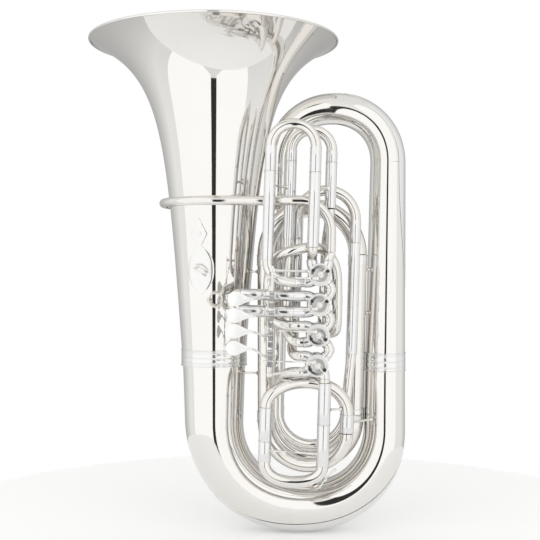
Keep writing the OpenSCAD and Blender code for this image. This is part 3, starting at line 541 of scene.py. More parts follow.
# ---------------------------------------------------------------- main tuning slide
def make_main_slide():
    p = Piece("main_slide_sleeves")
    for x, high, low in ((MAIN_L, -231, -289), (MAIN_R, -186, -258)):
        p.sleeve(F(x, VALVE_Y, low), F(x, VALVE_Y, high), MAIN_SLEEVE, MAIN_TUBE + GAP)
        p.bead(F(x, VALVE_Y, low), F(x, VALVE_Y, high), MAIN_SLEEVE, 0.8)
        p.bead(F(x, VALVE_Y, high), F(x, VALVE_Y, low), MAIN_SLEEVE, 0.5, 1.4)
    ferrule(p, F(CROWN_X, RETURN_Y, CROWN_Z - 31), F(CROWN_X, RETURN_Y, CROWN_Z + 1), MAIN_SLEEVE + 1.2,
            MAIN_SLEEVE + 0.4)
    p.done([SATIN])

    foot_l, foot_r = W(MAIN_L, VALVE_Y, -324), W(MAIN_R, VALVE_Y, -329)
    p = Piece("main_slide_crook")
    for foot, stop, tip in ((foot_l, -289.3, -240), (foot_r, -258.3, -196)):
        at = [F(foot.x, VALVE_Y, z) for z in (foot.z, stop, tip)]
        p.sleeve(at[0], at[1], MAIN_SLEEVE - 0.1, MAIN_TUBE - SHEET, mat=1)
        p.bead(at[0], at[1], MAIN_SLEEVE - 0.1, 0.5, 1.6)
        p.sleeve(at[1], at[2], MAIN_TUBE, MAIN_TUBE - SHEET, mat=1)
    p.tube([F(*q) for q in u_bend(foot_l, foot_r, -35, -357.5, 2.25)], MAIN_TUBE + 0.6, MAIN_TUBE - 0.8,
           64, (0, 1, 0))
    ends = F(MAIN_L + 10.3, VALVE_Y, -305), F(MAIN_R - 10.3, VALVE_Y, -308)
    p.rod(*ends, 1.8)
    for a, b in (ends, ends[::-1]):
        p.rod(a, a + 1.8 * (b - a).normalized(), 3.4)
    p.done([TUBING, SATIN])

    crown = u_bend(W(MAIN_L, VALVE_Y, -230.6), W(CROWN_X, RETURN_Y, CROWN_Z), -15, -188, 2.15)
    for q in crown:
        share = min(1.0, (q.x - MAIN_L) / 72)
        q.y = lerp(VALVE_Y, RETURN_Y, (1 - math.cos(math.pi * share)) / 2)
    radii = taper(10.6, 10.9, 11.1)
    Piece("tuning_crown").tube([F(*q) for q in crown], radii, [r - SHEET for r in radii], 64,
                               (0, 1, 0)).done([TUBING])


# ---------------------------------------------------------------- leadpipe
def make_leadpipe():
    z, r, leave = 593.0, 91.0, 143.0
    out = W(math.sin(math.radians(leave)), -math.cos(math.radians(leave)), 0)
    x_dir, y_dir, z_dir = W(1, 0, 0), W(0, 1, 0), W(0, 0, 1)
    wrap = arc(W(BELL_X, 0, z), x_dir, y_dir, r, leave, 270, 70)
    start = wrap[0] + 50 * out
    path = straight(start, wrap[0], 12)[:-1] + wrap
    run = [(-47, -90.8), (-30, -89.3), (-10, -87.2), (10, -85.2), (27, -84.2), (38, -84.1), (50, -85.5),
           (62, -88.3), (74, -90.8), (86, -91.5)]
    path += through([W(x, y, z) for x, y in run], 3)
    path += arc(W(92.3, -91.5, z - 53), x_dir, z_dir, 53, 90, 0, 30)
    path += [W(145, -91.8, 520), W(144.6, -92, 503.6)]
    n = len(path) - 1
    radii = [lerp(7.4, 8.7, i / n) for i in range(n + 1)]
    Piece("leadpipe").tube(path, radii, [q - SHEET for q in radii], 56, (0, 0.2, 1)).done([TUBING])
    p = Piece("mouthpiece_receiver")
    prof = [(-12, 7.43), (-12, 9.2), (-11.6, 9.7), (-10, 10.4), (-9, 9.7), (-8.4, 9.4), (11, 9.4),
            (11.6, 9.8), (12.4, 10.4), (14.4, 10.4), (15.2, 9.8), (15.8, 9.4), (41.6, 9.4), (42.4, 10.0),
            (43.2, 10.4), (45.3, 10.4), (45.8, 10.1), (46, 9.6), (46, 6.9), (45.6, 6.6), (16.2, 6.6),
            (15.9, 6.0), (0.1, 6.0), (-0.1, 7.43)]
    p.turned(start, start + out, prof).done([SATIN])


# ---------------------------------------------------------------- valves
FRONT, BACK = -118.0, -72.0
HOME = (225, 225, 135, 135)


def on_valve(n):
    """Point maker for valve n: x and z from the rotor axis."""
    return lambda x, y, z: F(x, y, z - n * PITCH)


def make_valves():
    caps, plates, bumps_p = Piece("valve_caps"), Piece("stop_plates"), Piece("stop_bumpers")
    for n in range(4):
        at = on_valve(n)
        p = Piece(f"valve_casing_{n + 1}")
        p.turned(at(0, BACK, 0), at(0, FRONT, 0), [
            (1, 17.2), (1, 18.5), (0.2, 18.8), (0, 19), (1.2, 19), (1.5, 18.85), (3.2, 18.85), (3.5, 19),
            (22, 19), (42.5, 19), (42.8, 18.85), (44.5, 18.85), (44.8, 19), (46, 19), (46, 17.4),
            (45, 17.2)], 96)
        for sx, sz in ((-1, -1), (-1, 1), (1, -1), (1, 1)):
            upright = (n, sz) == (0, 1) or (n, sx, sz) == (3, 1, -1)
            if upright:
                end, way = (sx * PORT_Z, sz * PORT_REACH), (0, sz)
            elif sx == 1:
                end, way = (16, sz * 16), (0.7, 0.7 * sz)
            else:
                end, way = (-PORT_X, sz * PORT_Z), (-1, 0)
            tip = at(end[0], VALVE_Y, end[1])
            lead = FD(7 * way[0], 0, 7 * way[1])
            p.tube(bezier(at(sx * 10, VALVE_Y, sz * 10), FD(sx * 2.5, 0, sz * 2.5), tip, lead, 10),
                   TUBE_R + 0.6, BORE, 56)
            p.bead(tip, tip - lead, TUBE_R + 0.6, 0.35, 1.4)
        p.done([SATIN])

        # back cap: domed, milled edge; front: bearing ring with its screws
        knurl = 72
        back = [(0.1, 3.05), (0.1, 19.6), (3, 19.6), (3.4, 19.2), (3.6, 15.4), (4.1, 15), (4.5, 14.2),
                (4.5, 3.05)]
        caps.turned(at(0, BACK, 0), at(0, BACK + 1, 0), back, 96)
        for k in range(knurl):
            a = 2 * math.pi * k / knurl
            spot = lambda y: at(19.45 * math.cos(a), y, 19.45 * math.sin(a))
            caps.rod(spot(BACK + 0.4), spot(BACK + 2.8), 0.35, 0.12, 6)
        caps.turned(at(0, FRONT + 0.1, 0), at(0, FRONT - 1, 0), [
            (0, 3.55), (0, 19.4), (1.7, 19.4), (2.3, 18.9), (2.6, 18.2), (2.6, 16.9), (2.2, 16.5),
            (2.2, 13.2), (2.6, 12.8), (2.6, 7.2), (2.9, 6.8), (2.9, 3.9), (2.7, 3.55)], 96)
        caps.turned(at(0, FRONT - 2.5, 0), at(0, FRONT - 3, 0), [
            (0, 5.8), (0, 12.5), (0.2, 12.6), (0.35, 12.4), (0.35, 6.2), (0.2, 5.8)], 72, mat=1)
        turn = 0 if n < 2 else 180
        for a in (45, 225):
            q = math.radians(a)
            caps.screw(at(14.6 * math.cos(q), FRONT - 2.1, -14.6 * math.sin(q)), (0, -1, 0), 1.6, 1.0,
                       20 + 37 * n)

        # crescent plate and its two bumpers, away from the stop-arm pin
        ring_pts = []
        for k in range(25):
            a = math.radians(turn + 180 * k / 24)
            ring_pts.append((math.cos(a), math.sin(a)))
        outline = [(15.8 * c, 15.8 * s) for c, s in ring_pts]
        outline += [(12.2 * c, 12.2 * s) for c, s in reversed(ring_pts)]
        rows = []
        for y, inset in ((-120.7, 0), (-121.6, 0), (-121.9, 0.25)):
            rows.append([at(x * (1 - inset / 15) if i < 25 else x * (1 + inset / 12), y,
                            z * (1 - inset / 15) if i < 25 else z * (1 + inset / 12))
                         for i, (x, z) in enumerate(outline)])
        plates.add(rows, caps=True)
        tuck = 45 - math.degrees(math.asin((2.9 + 1.2 + 0.1) / 14))
        for s in (-1, 1):
            x, z = 14 * s * math.cos(math.radians(tuck)), 14 * math.sin(math.radians(tuck))
            if turn:
                x, z = -x, -z
            plates.rod(at(x, -121, z), at(x, -125.2, z), 1.5, 0.2)
            bumps_p.sleeve(at(x, -122.4, z), at(x, -125.3, z), 2.9, 1.5, 0.5, 40)
            bumps_p.rod(at(x, -125.25, z), at(x, -125.6, z), 2.7, 0.2, 40)

        # rotor: body, bearing and stop arm
        p = Piece(f"rotor_{n + 1}")
        arm = (math.cos(math.radians(HOME[n])), math.sin(math.radians(HOME[n])))
        p.turned(at(0, BACK - 2, 0), at(0, FRONT + 2, 0), [
            (0, 0.02), (0, 16.6), (0.5, 17.15), (41.5, 17.15), (42, 16.6), (42, 0.02)], 80, closed=False)
        p.rod(at(0, BACK - 2, 0), at(0, BACK + 1.5, 0), 3)
        p.rod(at(0, FRONT + 2, 0), at(0, -127.5, 0), 3.5)
        p.turned(at(0, -121.4, 0), at(0, -124, 0), [(0, 3), (0, 5.4), (2.0, 5.4), (2.6, 4.8), (2.6, 3)], 48)
        p.rod(at(2 * arm[0], -122.7, 2 * arm[1]), at(9 * arm[0], -122.7, 9 * arm[1]), 1.25, 0.2, 24)
        p.rod(at(0, -123.7, 0), at(-15 * arm[0], -123.7, -15 * arm[1]), 1.2, 0.3, 24)
        px, pz = 9 * arm[0], 9 * arm[1]
        p.rod(at(px, -121.4, pz), at(px, -124, pz), 3.1, 0.5)
        p.rod(at(px, -123.5, pz), at(px, -131.2, pz), 1.5, 0.2)
        p.rod(at(px, -130.4, pz), at(px, -131.0, pz), 2.5, 0.25)
        p.screw(at(px, -130.8, pz), (0, -1, 0), 2.2, 0.75, 15 + 50 * n)
        p.rod(at(0, -127.3, 0), at(0, -127.9, 0), 4.2, 0.3)
        p.screw(at(0, -127.6, 0), (0, -1, 0), 3.4, 0.7, 65 + 40 * n)
        p.done([BRUSHED])
    caps.done([BRUSHED, BEARING])
    plates.done([KEYWORK])
    bumps_p.done([RUBBER])

    p = Piece("knuckles")
    inner = TUBE_R - SHEET
    for n in range(3):
        p.tube(bezier(F(16.3, VALVE_Y, -n * PITCH - 16.3), FD(5.3, 0, -5.3),
                      F(16.3, VALVE_Y, -(n + 1) * PITCH + 16.3), FD(-5.3, 0, -5.3)), TUBE_R, inner, 56)
        mid_z = -(n + 0.5) * PITCH
        p.sleeve(F(20.2, VALVE_Y, mid_z - 4.2), F(20.2, VALVE_Y, mid_z + 4.2), TUBE_R + 0.75, TUBE_R - 0.2)
    p.tube(bezier(F(17.9, -92, 38), FD(0, 0, -6), F(PORT_Z, VALVE_Y, PORT_REACH + 0.4), FD(0, 0, -7)),
           TUBE_R, inner, 56)
    drop_x = (PORT_Z + MAIN_R) / 2
    p.sleeve(F(drop_x, VALVE_Y, -3 * PITCH - PORT_REACH - 0.2), F(drop_x, VALVE_Y, -185.8), TUBE_R + 0.4,
             BORE)
    p.done([TUBING])


# ---------------------------------------------------------------- valve slides
def fixed_legs(p, legs, y):
    """Outer sleeves of a valve slide: (x, foot, head) of each."""
    for x, low, high in legs:
        p.sleeve(F(x, y, low), F(x, y, high), SLEEVE_R, TUBE_R + GAP, mat=0)
        p.bead(F(x, y, high), F(x, y, low), SLEEVE_R, 0.65, 1.8)
        p.bead(F(x, y, low), F(x, y, high), SLEEVE_R, 0.45, 1.4)


def rising_crook(node, xa, xb, y, springing, stop_a, stop_b, reach):
    """Inner legs and bend of a slide that pulls out upwards."""
    p = Piece(node)
    for x, stop in ((xa, stop_a), (xb, stop_b)):
        p.sleeve(F(x, y, stop + 0.3), F(x, y, springing), SLEEVE_R - 0.1, TUBE_R - SHEET, 0.3, mat=1)
        p.sleeve(F(x, y, stop - reach), F(x, y, stop + 0.3), TUBE_R, TUBE_R - SHEET, 0.3, mat=1)
    centre = F((xa + xb) / 2, y, springing)
    bend = arc(centre, FD(1, 0, 0), FD(0, 0, 1), (xb - xa) / 2, 180, 0, 60)
    p.tube(bend, TUBE_R + 0.6, TUBE_R - SHEET, 56, (0, 1, 0))
    return p.done([TUBING, SATIN])


def make_slides():
    inner = TUBE_R - SHEET
    y1, l1, r1 = -112.5, -90.3, -13.7
    p = Piece("first_slide_sleeves")
    fixed_legs(p, ((l1, 22, 174), (r1, 46, 174)), y1)
    joint, port = F(l1 + 42, -106, -PORT_Z), F(-PORT_X - 0.2, VALVE_Y, -PORT_Z)
    run = bezier(joint, FD(16, 4, 0), port, FD(9, 0, 0))
    p.tube(bezier(F(l1, y1, 22), FD(0, 0, -24), joint, FD(24, 6, 0)) + run[1:], TUBE_R, inner, 56, mat=1)
    p.tube(run[2:10], TUBE_R + 0.8, TUBE_R - 0.2, 56)
    p.tube(bezier(F(r1, y1, 46), FD(0, 0, -12), F(-PORT_Z, VALVE_Y, PORT_REACH + 0.2), FD(0, 0, -10)),
           TUBE_R, inner, 56, mat=1)
    p.done([SATIN, TUBING])
    rising_crook("first_slide_crook", l1, r1, y1, 217, 174, 174, 110)

    p = Piece("second_slide_sleeves")
    for z in (-PITCH + 14, -PITCH - 14):
        p.sleeve(F(-PORT_X - 0.1, VALVE_Y, z), F(-92, VALVE_Y, z), SLEEVE_R - 0.3, TUBE_R + GAP)
        p.bead(F(-92, VALVE_Y, z), F(-14, VALVE_Y, z), SLEEVE_R - 0.3, 0.6, 1.8)
        p.bead(F(-44, VALVE_Y, z), F(-14, VALVE_Y, z), SLEEVE_R - 0.3, 0.4, 1.2)
    p.done([SATIN])
    p = Piece("second_slide_crook")
    for z in (-PITCH + 14, -PITCH - 14):
        p.sleeve(F(-92.3, VALVE_Y, z), F(-134, VALVE_Y, z), SLEEVE_R - 0.4, TUBE_R - SHEET, 0.3, mat=1)
        p.sleeve(F(-40, VALVE_Y, z), F(-92.3, VALVE_Y, z), TUBE_R, TUBE_R - SHEET, 0.3, mat=1)
    p.tube(arc(F(-134, VALVE_Y, -PITCH), FD(-1, 0, 0), FD(0, 0, 1), 14, -90, 90, 40), TUBE_R + 0.6,
           TUBE_R - SHEET, 56, (0, 1, 0))
    p.rod(F(-156, VALVE_Y, -PITCH), F(-162.1, VALVE_Y, -PITCH), 2, 0.8)
    p.done([TUBING, SATIN])

    y3, l3, r3 = -71.0, -54.5, 15.9
    p = Piece("third_slide_sleeves")
    fixed_legs(p, ((l3, 60, 196), (r3, 116, 196)), y3)
    p.done([SATIN])
    rising_crook("third_slide_crook", l3, r3, y3, 216, 196, 196, 78)
    upper, lower = -2 * PITCH + 14, -2 * PITCH - 14
    run = [(-PORT_X - 0.2, VALVE_Y, upper), (-38, VALVE_Y, upper), (-58, -89, upper + 0.5),
           (-76, -78, upper + 9), (-84, -74, -62), (-87, -74, -40), (-87, -75, -8), (-80, -83, 24),
           (-54, -91.3, 38), (-20, -89, 46), (1, -80, 45), (12, -73.6, 38), (24, -71.5, 24), (31, -71, 3),
           (33, -71, -30), (34, -69.5, -80), (31, -60, -99), (17, -53.5, -102), (10, -52, -84),
           (11, -52, -20), (12, -52, 50), (15, -64, 86), (r3, y3, 116)]
    down = [(l3, y3, 60), (l3, y3, -20), (l3, y3, -80), (-52, -75, -101), (-45, -87, -113),
            (-34, -94, lower), (-PORT_X - 0.2, VALVE_Y, lower)]
    p = Piece("third_valve_loop")
    p.tube(through([F(*q) for q in run]), TUBE_R, inner, 56)
    p.tube(through([F(*q) for q in down]), TUBE_R, inner, 56)
    p.sleeve(F(33, -71, -36), F(33, -71, -52), TUBE_R + 0.7, TUBE_R - 0.2)
    p.done([TUBING])

    y4, l4, r4 = -51.0, -39.2, 62.6
    p = Piece("fourth_slide_sleeves")
    fixed_legs(p, ((l4, -60, 62), (r4, -138, 58)), y4)
    p.done([SATIN])
    rising_crook("fourth_slide_crook", l4, r4, y4, 97.8, 62, 58, 90)
    upper, lower = -3 * PITCH + 14, -3 * PITCH - 14
    p = Piece("fourth_valve_bow")
    p.tube(through([F(*q) for q in ((l4, y4, -60), (l4, y4, -98), (-41, -56, -117), (-43, -68, -130),
                                    (-40.5, -81, -137.5), (-35.5, -91, upper), (-30, VALVE_Y, upper),
                                    (-PORT_X - 0.2, VALVE_Y, upper))]), TUBE_R, inner, 56)
    ring_x, ring_r = -4.0, 59.0
    path = through([F(*q) for q in ((-PORT_X - 0.2, VALVE_Y, lower), (-31, VALVE_Y, lower),
                                    (-42, -90.5, -169.5), (-53, -79, -174), (-61, -62, -185),
                                    (ring_x - ring_r, y4, -204), (ring_x - ring_r, y4, -240))])
    path += arc(F(ring_x, y4, -240.6), FD(1, 0, 0), FD(0, 0, 1), ring_r, 182, 358, 70)
    path += [F(lerp(ring_x + ring_r, r4, t), y4, lerp(-240, -138, t)) for t in (0.02, 0.3, 0.6, 0.8, 1)]
    p.tube(path, TUBE_R, inner, 56)
    p.done([TUBING])


# ---------------------------------------------------------------- levers and linkage
HX, HY = -81.0, -157.0
HUB_TOP, LEVER_PITCH, CRANK, STOP_R = -38.7, 32.6, 30.0, 9.0
BLADE_Z = (-44.4, -71.9, -97.8, -125.8)
REST_SWING = math.asin(STOP_R * math.sin(math.radians(45)) / CRANK)
PIN_X, PIN_Y = HX - CRANK * math.sin(REST_SWING), HY + CRANK * math.cos(REST_SWING)


def link_z(n):
    return -n * PITCH + (-1 if n < 2 else 1) * STOP_R * math.sin(math.radians(45))


def teardrop():
    """Outline of a finger plate: broad to the left, a long hollow taper to the arm."""
    left, neck, widest = -73.2, -30.0, -60.5
    top = []
    for k in range(15):
        a = math.pi - math.pi / 2 * k / 14
        top.append((widest + (widest - left) * math.cos(a), 12.4 * math.sin(a)))
    for k in range(1, 21):
        t = k / 20
        s = t * t * (3 - 2 * t)
        top.append((lerp(widest, neck, t), lerp(12.4, 2.2, s ** 0.85)))
    return top + [(x, -z) for x, z in reversed(top[1:])]


def make_levers():
    blade = teardrop()
    lean = math.tan(math.radians(6.5))
    springs = Piece("lever_springs")
    for n in range(4):
        z = HUB_TOP - n * LEVER_PITCH
        p = Piece(f"lever_{n + 1}")
        hub = [(0, 2.25), (0, 3.9), (0.3, 4.3), (1.5, 4.3), (1.8, 4.0), (2.2, 3.9), (15.8, 3.9),
               (16.2, 4.0), (16.5, 4.3), (17.7, 4.3), (18, 3.9), (18, 2.25)]
        # The hub takes the darkened grey copy of the plate (mat=1), which is painted shade.
        p.turned(F(HX, HY, z - 9), F(HX, HY, z + 9), hub, 48, mat=1)
        for collar in (z - 8.4, z + 1.4, z + 7.2):
            p.sleeve(F(HX, HY, collar - 0.5), F(HX, HY, collar + 0.5), 4.6, 3.5, 0.3, 48)

        def place(x, dz, h, bz=BLADE_Z[n]):
            return F(HX + x, HY - 0.6 - h + (x + 55) * -lean * 0.55, bz + dz)
        p.plate(blade, place, 1.7, 1.5, 0.6, mat=2)
        arm = through([F(HX - 2.8, HY, z), F(HX - 12, HY - 0.4, z),
                       F(HX - 23, HY - 1.0, lerp(z, BLADE_Z[n], 0.72)), F(HX - 34, HY - 1.8, BLADE_Z[n]),
                       F(HX - 44, HY - 1.6, BLADE_Z[n])], 8)
        count = len(arm) - 1
        p.tube(arm, [lerp(2.3, 1.5, i / count) for i in range(count + 1)], None, 28)
        far = -1 if n == 3 else 1
        pz = link_z(n)
        crank = through([F(HX, HY + 3, z), F(HX, HY + 9, z), F(PIN_X, PIN_Y - 7, pz - 8 * far),
                         F(PIN_X, PIN_Y - 0.6, pz - 6.7 * far)], 10)
        p.tube(crank, 2.2, None, 28)
        p.ball(F(PIN_X, PIN_Y, pz - 7 * far), 2.4)
        p.rod(F(PIN_X, PIN_Y, pz - 7 * far), F(PIN_X, PIN_Y, pz + 7 * far), 1.5, 0.2, 28)
        p.rod(F(PIN_X, PIN_Y, pz + 6 * far), F(PIN_X, PIN_Y, pz + 7 * far), 2.6, 0.3)
        p.done([KEYWORK, HUB_PAINTED_SHADE, BLADE])

        p = Piece(f"link_{n + 1}")
        stop_x = STOP_R * math.cos(math.radians(HOME[n]))
        y = -128.5
        p.sleeve(F(stop_x, y - 1.6, pz), F(stop_x, y + 1.6, pz), 3.4, 1.55, 0.4, 48)
        p.rod(F(stop_x - 2.9, y, pz), F(PIN_X + 3.2, y, pz), 1.3, 0.3, 24)
        for x0, x1 in ((stop_x - 3, stop_x - 12), (PIN_X + 12, PIN_X + 4)):
            p.rod(F(x0, y, pz), F(x1, y, pz), 2.0, 0.4, 6)
        p.sleeve(F(PIN_X, y + 0.4, pz - 1.5), F(PIN_X, y + 0.4, pz + 1.5), 4.4, 2.7, 0.4, 48)
        p.done([KEYWORK])

        coil = []
        for k in range(5 * 20 + 1):
            a = 2 * math.pi * k / 20
            coil.append(F(HX + 3.7 * math.cos(a), HY + 3.7 * math.sin(a), z - 10.2 - 8.6 * k / 100))
        springs.tube(coil, 0.7, None, 12)
    springs.done([WIRE])

    p = Piece("hinge_rod")
    p.rod(F(HX, HY, 12), F(HX, HY, -172), 2.2, 0.4, 40)
    p.done([KEYWORK])
    p = Piece("hinge_brackets")
    for z, foot_z in ((5, 5), (-168, -3 * PITCH - 5)):
        p.sleeve(F(HX, HY, z - 2.5), F(HX, HY, z + 2.5), 5.4, 2.23, 0.5, 48)
        root, foot = F(HX + 3.6, HY + 2.4, z), F(-20.8, -114, foot_z)
        p.tube(straight(root, foot, 16), [2.1 + 0.9 * abs(k / 8 - 1) ** 3 for k in range(17)], None, 32)
        p.turned(F(-22.6, -114, foot_z), F(-19.1, -114, foot_z), [
            (0, 0.05), (0, 2.4), (0.8, 3.1), (1.6, 3.6), (3.2, 3.8), (3.5, 3.6), (3.5, 0.05)], 40,
            closed=False)
    p.done([KEYWORK])


# ---------------------------------------------------------------- water key and trim
def make_water_key():
    c, sn = math.cos(math.radians(26)), math.sin(math.radians(26))

    def at(x, y, z):
        return F(x * c - z * sn - 1.25, VALVE_Y + y, x * sn + z * c - 351.5)
    pivot, nipple = (19.5, -9.6), -14.5
    p = Piece("water_key_saddle")
    p.turned(at(0, 0, -10.5), at(0, 0, nipple), [(0, 2.6), (0, 5.6), (0.7, 5.2), (1.4, 4.6), (3.5, 4.4),
                                                 (4, 4.0), (4, 2.6)],
             48)
    for s in (-1, 1):
        p.sleeve(at(pivot[0], s * 3.5 - 0.9, pivot[1]), at(pivot[0], s * 3.5 + 0.9, pivot[1]), 2.6, 1.23,
                 0.3, 32)
        p.rod(at(pivot[0] - 1.15, s * 3.5, pivot[1] + 2.55), at(pivot[0] - 0.6, s * 3.5, pivot[1] + 1.4),
              1.3, 0.2, 24)
    p.done([KEYWORK])
    p = Piece("water_key_lever")
    p.rod(at(pivot[0], -6, pivot[1]), at(pivot[0], 6, pivot[1]), 1.2, 0.3, 24)
    bent = through([at(0, 0, nipple - 3.4), at(6, 0, nipple - 3.1), at(13, 0, -13.6),
                    at(pivot[0], 0, pivot[1]), at(31, 0, -5.2), at(42, 0, -1.4)], 8)
    count = len(bent) - 1
    p.tube(bent, [1.4 + 1.3 * max(0, (i / count - 0.72) / 0.28) ** 1.5 for i in range(count + 1)], None, 24)
    p.ball(bent[-1], 2.6)
    p.turned(at(0, 0, nipple - 1.8), at(0, 0, nipple - 4), [
        (0, 0.05), (0, 4.2), (0.3, 4.4), (1.0, 4.4), (1.8, 3.4), (2.2, 0.05)], 40, closed=False)
    p.done([KEYWORK])
    p = Piece("water_key_cork")
    p.rod(at(0, 0, nipple - 0.02), at(0, 0, nipple - 1.8), 3.8, 0.4)
    p.done([CORK])


def brace(p, a, b):
    """Stay with a waisted rod and a domed foot at each end."""
    h = (b - a).length
    p.turned(a, b, [(0, 0.05), (0, 4.2), (0.5, 4.1), (1.4, 3.2), (2.2, 2.4), (3.4, 1.9), (h - 3.4, 1.9),
                    (h - 2.2, 2.4), (h - 1.4, 3.2), (h - 0.5, 4.1), (h, 4.2), (h, 0.05)], 36, closed=False)


def stay(p, a, ra, b, rb):
    """Stay from the wall of one tube to the wall of another."""
    d = (b - a).normalized()
    brace(p, a + (ra + 0.3) * d, b - (rb + 0.3) * d)


def make_trim():
    p = Piece("braces")
    bell, front, arch = W(BELL_X, 0, 0), W(33.5, -24, 200.5), W(33.5, -24, 501)
    for z, r in ((288, 55.8), (470, bell_r(470) + 0.3)):
        stay(p, bell + W(0, 0, z), r, front.lerp(arch, (z - 200.5) / 300.5), 15.4)
    for z, ra, rb in ((396, 16.8, 35), (474, 16.5, 33.9)):
        stay(p, W(191.6, -4, 204).lerp(W(197.5, -24, 501), (z - 204) / 297), ra,
             W(OUTER_EDGE - 36.2, 0, 308).lerp(W(OUTER_EDGE - 31.2, 0, 667), (z - 308) / 359), rb)
    stay(p, W(118.6, 5.5, 130.4), 19.4, W(118.6, 5.5, 45.4), 44.5)
    stay(p, F(MAIN_R, VALVE_Y, -232), MAIN_SLEEVE, F(CROWN_X - 1.1, RETURN_Y, -232), 12.4)
    for xa, xb in ((-90.3, -54.5), (-13.7, 15.9)):
        stay(p, F(xa, -112.5, 150), SLEEVE_R, F(xb, -71, 150), SLEEVE_R)
    stay(p, W(CROWN_X + 117, RETURN_Y, 206), 12.9, W(OUTER_EDGE - 37.1, 0, 206), 37.4)
    for turn in (205, 255):
        out = W(math.cos(math.radians(turn)), math.sin(math.radians(turn)), 0)
        p.rod(W(BELL_X, 0, 593) + (bell_r(593) + 0.9) * out, W(BELL_X, 0, 593) + (91 - 9.3) * out, 3, 0.5)
    p.done([TUBING])

    def on_bell(x, z, h):
        r = bell_r(z) + 0.25 + h
        return W(x, -math.sqrt(max(r * r - (x - BELL_X) ** 2, 1)), z)
    p = Piece("bell_plates")
    shield, diamond = [], []
    for k in range(64):
        a = 2 * math.pi * k / 64
        c, s = math.cos(a), math.sin(a)
        waist = 0.74 + 0.26 * math.cos(2 * a) - 0.10 * math.cos(4 * a)
        shield.append((-80 + 25.5 * waist * c, 473 + 42 * math.copysign(abs(s) ** 1.15, s)))
        diamond.append((-83 + 14.5 * math.copysign(c * c, c), 536 + 27 * math.copysign(s * s, s)))
    p.plate(shield, on_bell, 1.1, 0.3, 0.5)
    p.plate(diamond, on_bell, 1.1, 0.4, 0.4)
    petals = []
    for k in range(72):
        a = 2 * math.pi * k / 72
        r = 4.6 * (0.62 + 0.38 * abs(math.cos(3 * a)))
        petals.append((-83 + r * math.cos(a), 536 + r * math.sin(a)))
    p.plate(petals, lambda x, z, h: on_bell(x, z, h + 1.3), 0.9, 0.5, 0.3)
    p.done([TRIM])

    p = Piece("strap_ring")
    y0 = -math.sqrt(bell_r(473) ** 2 - 19 ** 2) - 5.5
    c, s = math.cos(math.radians(35)), math.sin(math.radians(35))
    for side in (-1, 1):
        loop = []
        for k in range(41):
            a = math.pi * k / 40
            x, out, lift = 11.5 * math.cos(a), 11.5 * math.sin(a), 3.6 * side
            loop.append(W(-80 + x * c + lift * s, y0 - out, 473 - x * s + lift * c))
        feet = []
        for end in (loop[0], loop[-1]):
            r = bell_r(end.z) + 1.8
            feet.append(W(end.x, -math.sqrt(r * r - (end.x - BELL_X) ** 2), end.z))
        p.tube([feet[0], feet[0].lerp(loop[0], 0.5)] + loop + [loop[-1].lerp(feet[1], 0.5), feet[1]], 1.5,
               None, 28, (0, 0, 1))
        for foot in feet:
            p.rod(foot, foot - W(0, 1.4, 0), 2.6, 0.4, 28)
    p.done([KEYWORK])

    p = Piece("thumb_ring")
    p.ring(W(-54, -78, 421), (0, 1, 0), 12, 1.7, 80, 24)
    wall_y = -math.sqrt(bell_r(421) ** 2 - 5 ** 2) - 0.3
    stem, wall_at = W(-66, -78, 421), W(-66, wall_y, 421)
    reach = wall_y + 78
    p.turned(wall_at, stem, [(0, 0.05), (0, 5.2), (0.8, 5.0), (1.8, 3.6), (3.2, 2.4), (5, 2), (reach, 2),
                             (reach, 0.05)],
             40, closed=False)
    p.done([TUBING])


make_bell()
make_large_branches()
make_nested_branches()
make_main_slide()
make_leadpipe()
make_valves()
make_slides()
make_levers()
make_water_key()
make_trim()


# ---------------------------------------------------------------- floor, light, camera
def card(name, corners, colour, strength, camera=False):
    """Flat studio card that the plate reflects."""
    mesh = bpy.data.meshes.new(name)
    mesh.from_pydata(corners, [], [tuple(range(len(corners)))])
    obj = bpy.data.objects.new(name, mesh)
    bpy.context.scene.collection.objects.link(obj)
    mat, _, shader = node_material(name + "_paint")
    shader.inputs["Base Color"].default_value = (0.03, 0.03, 0.03, 1)
    shader.inputs["Roughness"].default_value = 0.9
    if strength:
        shader.inputs["Emission Color"].default_value = (*colour, 1)
        shader.inputs["Emission Strength"].default_value = strength
    mesh.materials.append(mat)
    obj.visible_camera = camera
    return obj


def wall(name, a, b, low, high, colour, strength, arch=0.0):
    """Upright card from a to b in plan, its top edge arched by the given height."""
    top = []
    for k in range(25):
        t = 1 - k / 24
        z = high - arch * (1 - math.sqrt(max(1 - (2 * t - 1) ** 2, 0)))
        top.append((lerp(a[0], b[0], t), lerp(a[1], b[1], t), z))
    return card(name, [(*a, low), (*b, low)] + top, colour, strength)


FLOOR_R = 0.75
FLOOR_AT = (0.06, 0.0)
floor_mesh = bpy.data.meshes.new("floor")
ring_points = [(FLOOR_AT[0] + FLOOR_R * math.cos(2 * math.pi * k / 96),
                FLOOR_AT[1] + FLOOR_R * math.sin(2 * math.pi * k / 96), 0) for k in range(96)]
floor_mesh.from_pydata(ring_points, [], [tuple(range(96))])
floor = bpy.data.objects.new("floor", floor_mesh)
bpy.context.scene.collection.objects.link(floor)
floor_mat, floor_tree, floor_shader = node_material("floor_paper")
floor_fine = noise(floor_tree, 60.0, 4.0)
floor_tree.links.new(ramp(floor_tree, floor_fine, [(0.3, (0.93, 0.93, 0.93)), (0.7, (0.95, 0.95, 0.95))]),
                     floor_shader.inputs["Base Color"])
floor_shader.inputs["Roughness"].default_value = 0.8
floor_shader.inputs["Emission Color"].default_value = (1, 1, 1, 1)
floor_shader.inputs["Emission Strength"].default_value = 0.16
floor_shader.inputs["Specular IOR Level"].default_value = 0.1
floor_mesh.materials.append(floor_mat)

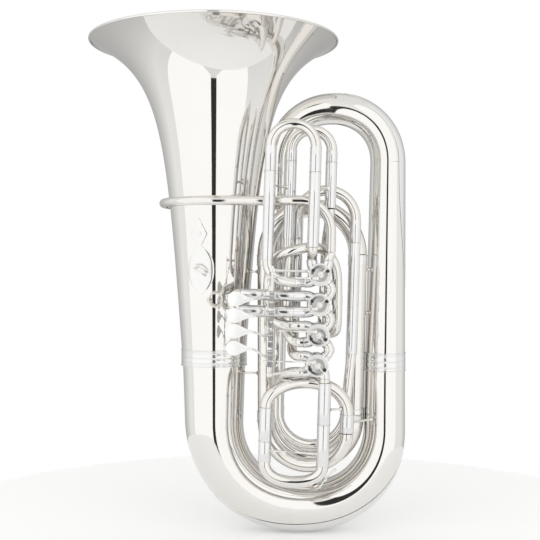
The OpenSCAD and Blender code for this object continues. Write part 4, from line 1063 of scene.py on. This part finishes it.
PANEL = 1.15
wall("panel_left", (-0.17, -2.35), (-1.55, -0.30), -1.5, 2.9, (1, 1, 0.992), PANEL, 1.2)
wall("panel_right", (0.25, -2.35), (1.38, -0.72), -1.5, 2.9, (1, 1, 0.992), PANEL, 1.2)
wall("dark_gap", (-0.20, -2.5), (0.28, -2.5), -1.5, 1.3, (0.035, 0.035, 0.034), 0.0)
wall("dark_gap_back", (0.16, 2.4), (-0.08, 2.4), -0.6, 2.0, (0.05, 0.05, 0.05), 0.0)

world = bpy.data.worlds.new("studio")
bpy.context.scene.world = world
world.use_nodes = True
wt = world.node_tree
wt.nodes.clear()
coord = wt.nodes.new("ShaderNodeTexCoord")
split = wt.nodes.new("ShaderNodeSeparateXYZ")
wt.links.new(coord.outputs["Generated"], split.inputs[0])
height = spread(wt, split.outputs["Z"], 0.0, 1.0, -1.0, 1.0)
sky = ramp(wt, height, [(0.0, (0.80, 0.795, 0.785)), (0.45, (0.93, 0.93, 0.925)),
                        (0.62, (0.97, 0.97, 0.965)), (1.0, (0.86, 0.86, 0.85))])
dome = wt.nodes.new("ShaderNodeBackground")
wt.links.new(sky, dome.inputs["Color"])
wt.links.new(spread(wt, split.outputs["Y"], 1.03, 0.50, 0.2, 0.95), dome.inputs["Strength"])
seen = wt.nodes.new("ShaderNodeBackground")
seen.inputs["Color"].default_value = (1, 1, 1, 1)
seen.inputs["Strength"].default_value = 1.0
ray = wt.nodes.new("ShaderNodeLightPath")
mix = wt.nodes.new("ShaderNodeMixShader")
out = wt.nodes.new("ShaderNodeOutputWorld")
wt.links.new(ray.outputs["Is Camera Ray"], mix.inputs[0])
wt.links.new(dome.outputs[0], mix.inputs[1])
wt.links.new(seen.outputs[0], mix.inputs[2])
wt.links.new(mix.outputs[0], out.inputs["Surface"])

camera_data = bpy.data.cameras.new("camera")
camera_data.lens = 65.87
camera_data.sensor_width = 36
camera_data.clip_end = 50
camera = bpy.data.objects.new("camera", camera_data)
camera.location = (0.0403, -1.793, 0.473)
camera.rotation_euler = (math.radians(90), 0, 0)
bpy.context.scene.collection.objects.link(camera)
bpy.context.scene.camera = camera
bpy.context.scene.view_settings.view_transform = "Standard"
